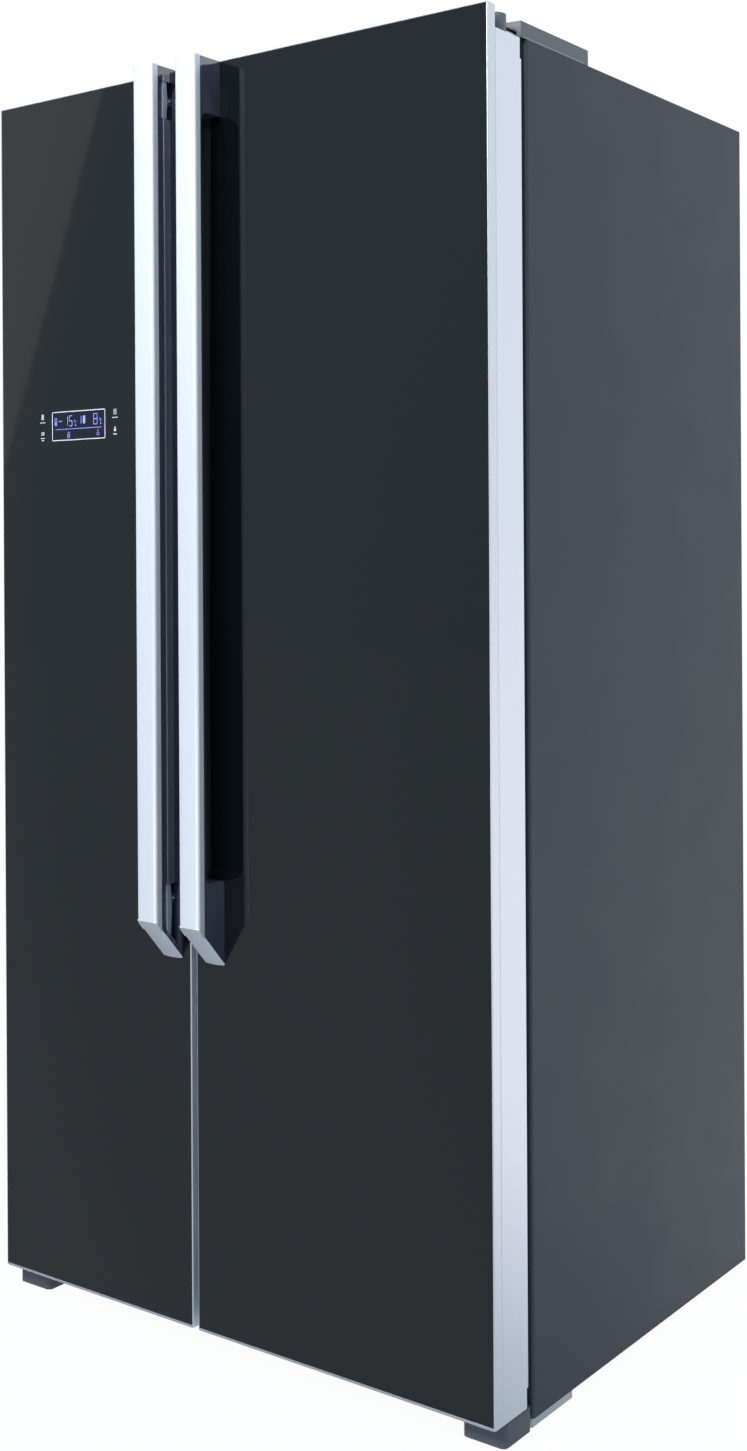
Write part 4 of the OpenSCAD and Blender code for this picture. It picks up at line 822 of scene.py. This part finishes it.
glowing += [outline(32.6, 3.2, 36.0, 9.0, 1.0, 0.7), bar(37.2, 4.0, 38.0, 12.4),
            bar(33.8, 10.2, 34.9, 12.6), outline(94.6, 5.0, 100.0, 9.8, 2.0, 0.7),
            bar(96.6, 11.4, 98.0, 13.4)]
piece_of("display_figures", *gather(glowing), lit_violet, "freezer_door", "display_plastic")
marks = [outline(0, 0, wide, tall, 2.2, 1.25)]
left_x, right_x = -20.5, wide + 20.1
marks += [outline(left_x - 2.4, 32.6, left_x + 2.4, 40.4, 0.6, 0.8),
          bar(left_x - 1.0, 34.4, left_x + 0.8, 38.6), bar(left_x - 5.4, 27.6, left_x - 1.6, 28.9),
          bar(left_x - 0.8, 27.6, left_x + 5.4, 28.9)]
marks += [outline(left_x - 2.8, 9.4, left_x + 2.8, 14.2, 0.6, 0.8),
          bar(left_x + 0.2, 10.6, left_x + 1.9, 13.0), bar(left_x - 4.4, 4.4, left_x + 4.4, 5.6),
          bar(left_x - 2.8, 1.4, left_x + 2.8, 2.6)]
marks += [bar(right_x - 2.6, 33.4, right_x - 1.8, 41.4),
          outline(right_x - 0.4, 33.4, right_x + 2.8, 41.4, 0.6, 0.8),
          bar(right_x - 5.4, 28.6, right_x - 1.6, 29.9), bar(right_x - 0.8, 28.6, right_x + 5.4, 29.9)]
marks += [bar(right_x - 2.2, 9.4, right_x + 2.2, 12.6),
          outline(right_x - 1.6, 11.8, right_x + 1.6, 16.0, 1.4, 0.7),
          bar(right_x - 3.8, 4.6, right_x + 3.8, 5.9)]
piece_of("display_marks", *gather(marks), print_white, "freezer_door", "display_plastic")


# ---- The hinges and their covers
# Zinc plated steel hinge plates screwed to the case, under grey moulded covers whose round nose hides
# the pin on top of each door.
hinge_zinc = finish("hinge_zinc", tone(190, 194, 198), 0.3, metal=1.0, grain_size=700.0, relief=0.00003,
                    gloss_drift=0.1)
dress(hinge_zinc, "top_hinges", "lower_hinges")
cover_grey = finish("cover_grey", tone(90, 96, 105), 0.38, grain_size=1300.0, relief=0.00007, dusty=0.12)
eased("hinge_covers", 1.6, cover_grey, segments=3)
# Thin light strips along the lower side edges of the covers paint in the highlight of those edges.
skirt_painted_highlight = finish("skirt_painted_highlight", tone(142, 149, 158), 0.4, grain_size=1300.0, relief=0.00005)
a, b = corners("hinge_covers")
skirt_y, skirt_z = (a[1] + 54.0, b[1] - 10.0), (1762.3, 1763.6)
skirts = [slab((x0, skirt_y[0], skirt_z[0]), (x1, skirt_y[1], skirt_z[1]), 0.2, 0.1, 1)
          for x0, x1 in ((447.0, 447.45), (-447.45, -447.0))]
piece_of("hinge_cover_highlight_strips", *gather(skirts), skirt_painted_highlight, "cabinet", "cover_plastic")


# ---- The feet
# Dark moulded covers close the corners under the doors, in front of the screwed levelling feet on
# which the fridge stands.
foot_dark = finish("foot_dark", tone(82, 85, 96), 0.4, grain_size=1100.0, relief=0.00008, dusty=0.1)
eased("foot_covers", 2.0, foot_dark, segments=3)
foot_black = finish("foot_black", tone(40, 42, 46), 0.5, grain_size=1100.0, relief=0.00008)
dress(foot_black, "levelling_foot_left", "levelling_foot_right")


# ---- The machine compartment
# The zinc plated base with its roller forks carries the black compressor, the condenser with its fan,
# and the tray for the melt water. A grey cover with louvres closes it.
# Each row: CAD node, finish, display colour, roughness, grain size, relief, dust, metal.
for node, name, colour, rough, size, relief, dusty, metal in (
    ("machine_base", "base_zinc", (186, 190, 194), 0.36, 300.0, 0.00004, 0.3, 1.0),
    ("rear_rollers", "roller_black", (38, 40, 44), 0.55, 900.0, 0.0001, 0.2, 0.0),
    ("compressor", "shell_black", (30, 31, 34), 0.32, 350.0, 0.0001, 0.35, 0.0),
    ("condenser_coil", "condenser_black", (40, 41, 44), 0.4, 600.0, 0.00008, 0.35, 0.0),
    ("drip_tray", "tray_grey", (206, 209, 213), 0.42, 900.0, 0.00004, 0.2, 0.0),
    ("machine_cover", "cover_sheet", (132, 138, 146), 0.45, 420.0, 0.00006, 0.15, 0.0),
    ("cord_gland", "gland_black", (34, 35, 38), 0.6, 900.0, 0.0001, 0.0, 0.0),
):
    dress(finish(name, tone(*colour), rough, metal, size, relief, dusty=dusty), node)
dress(screw_steel, "cover_screws")
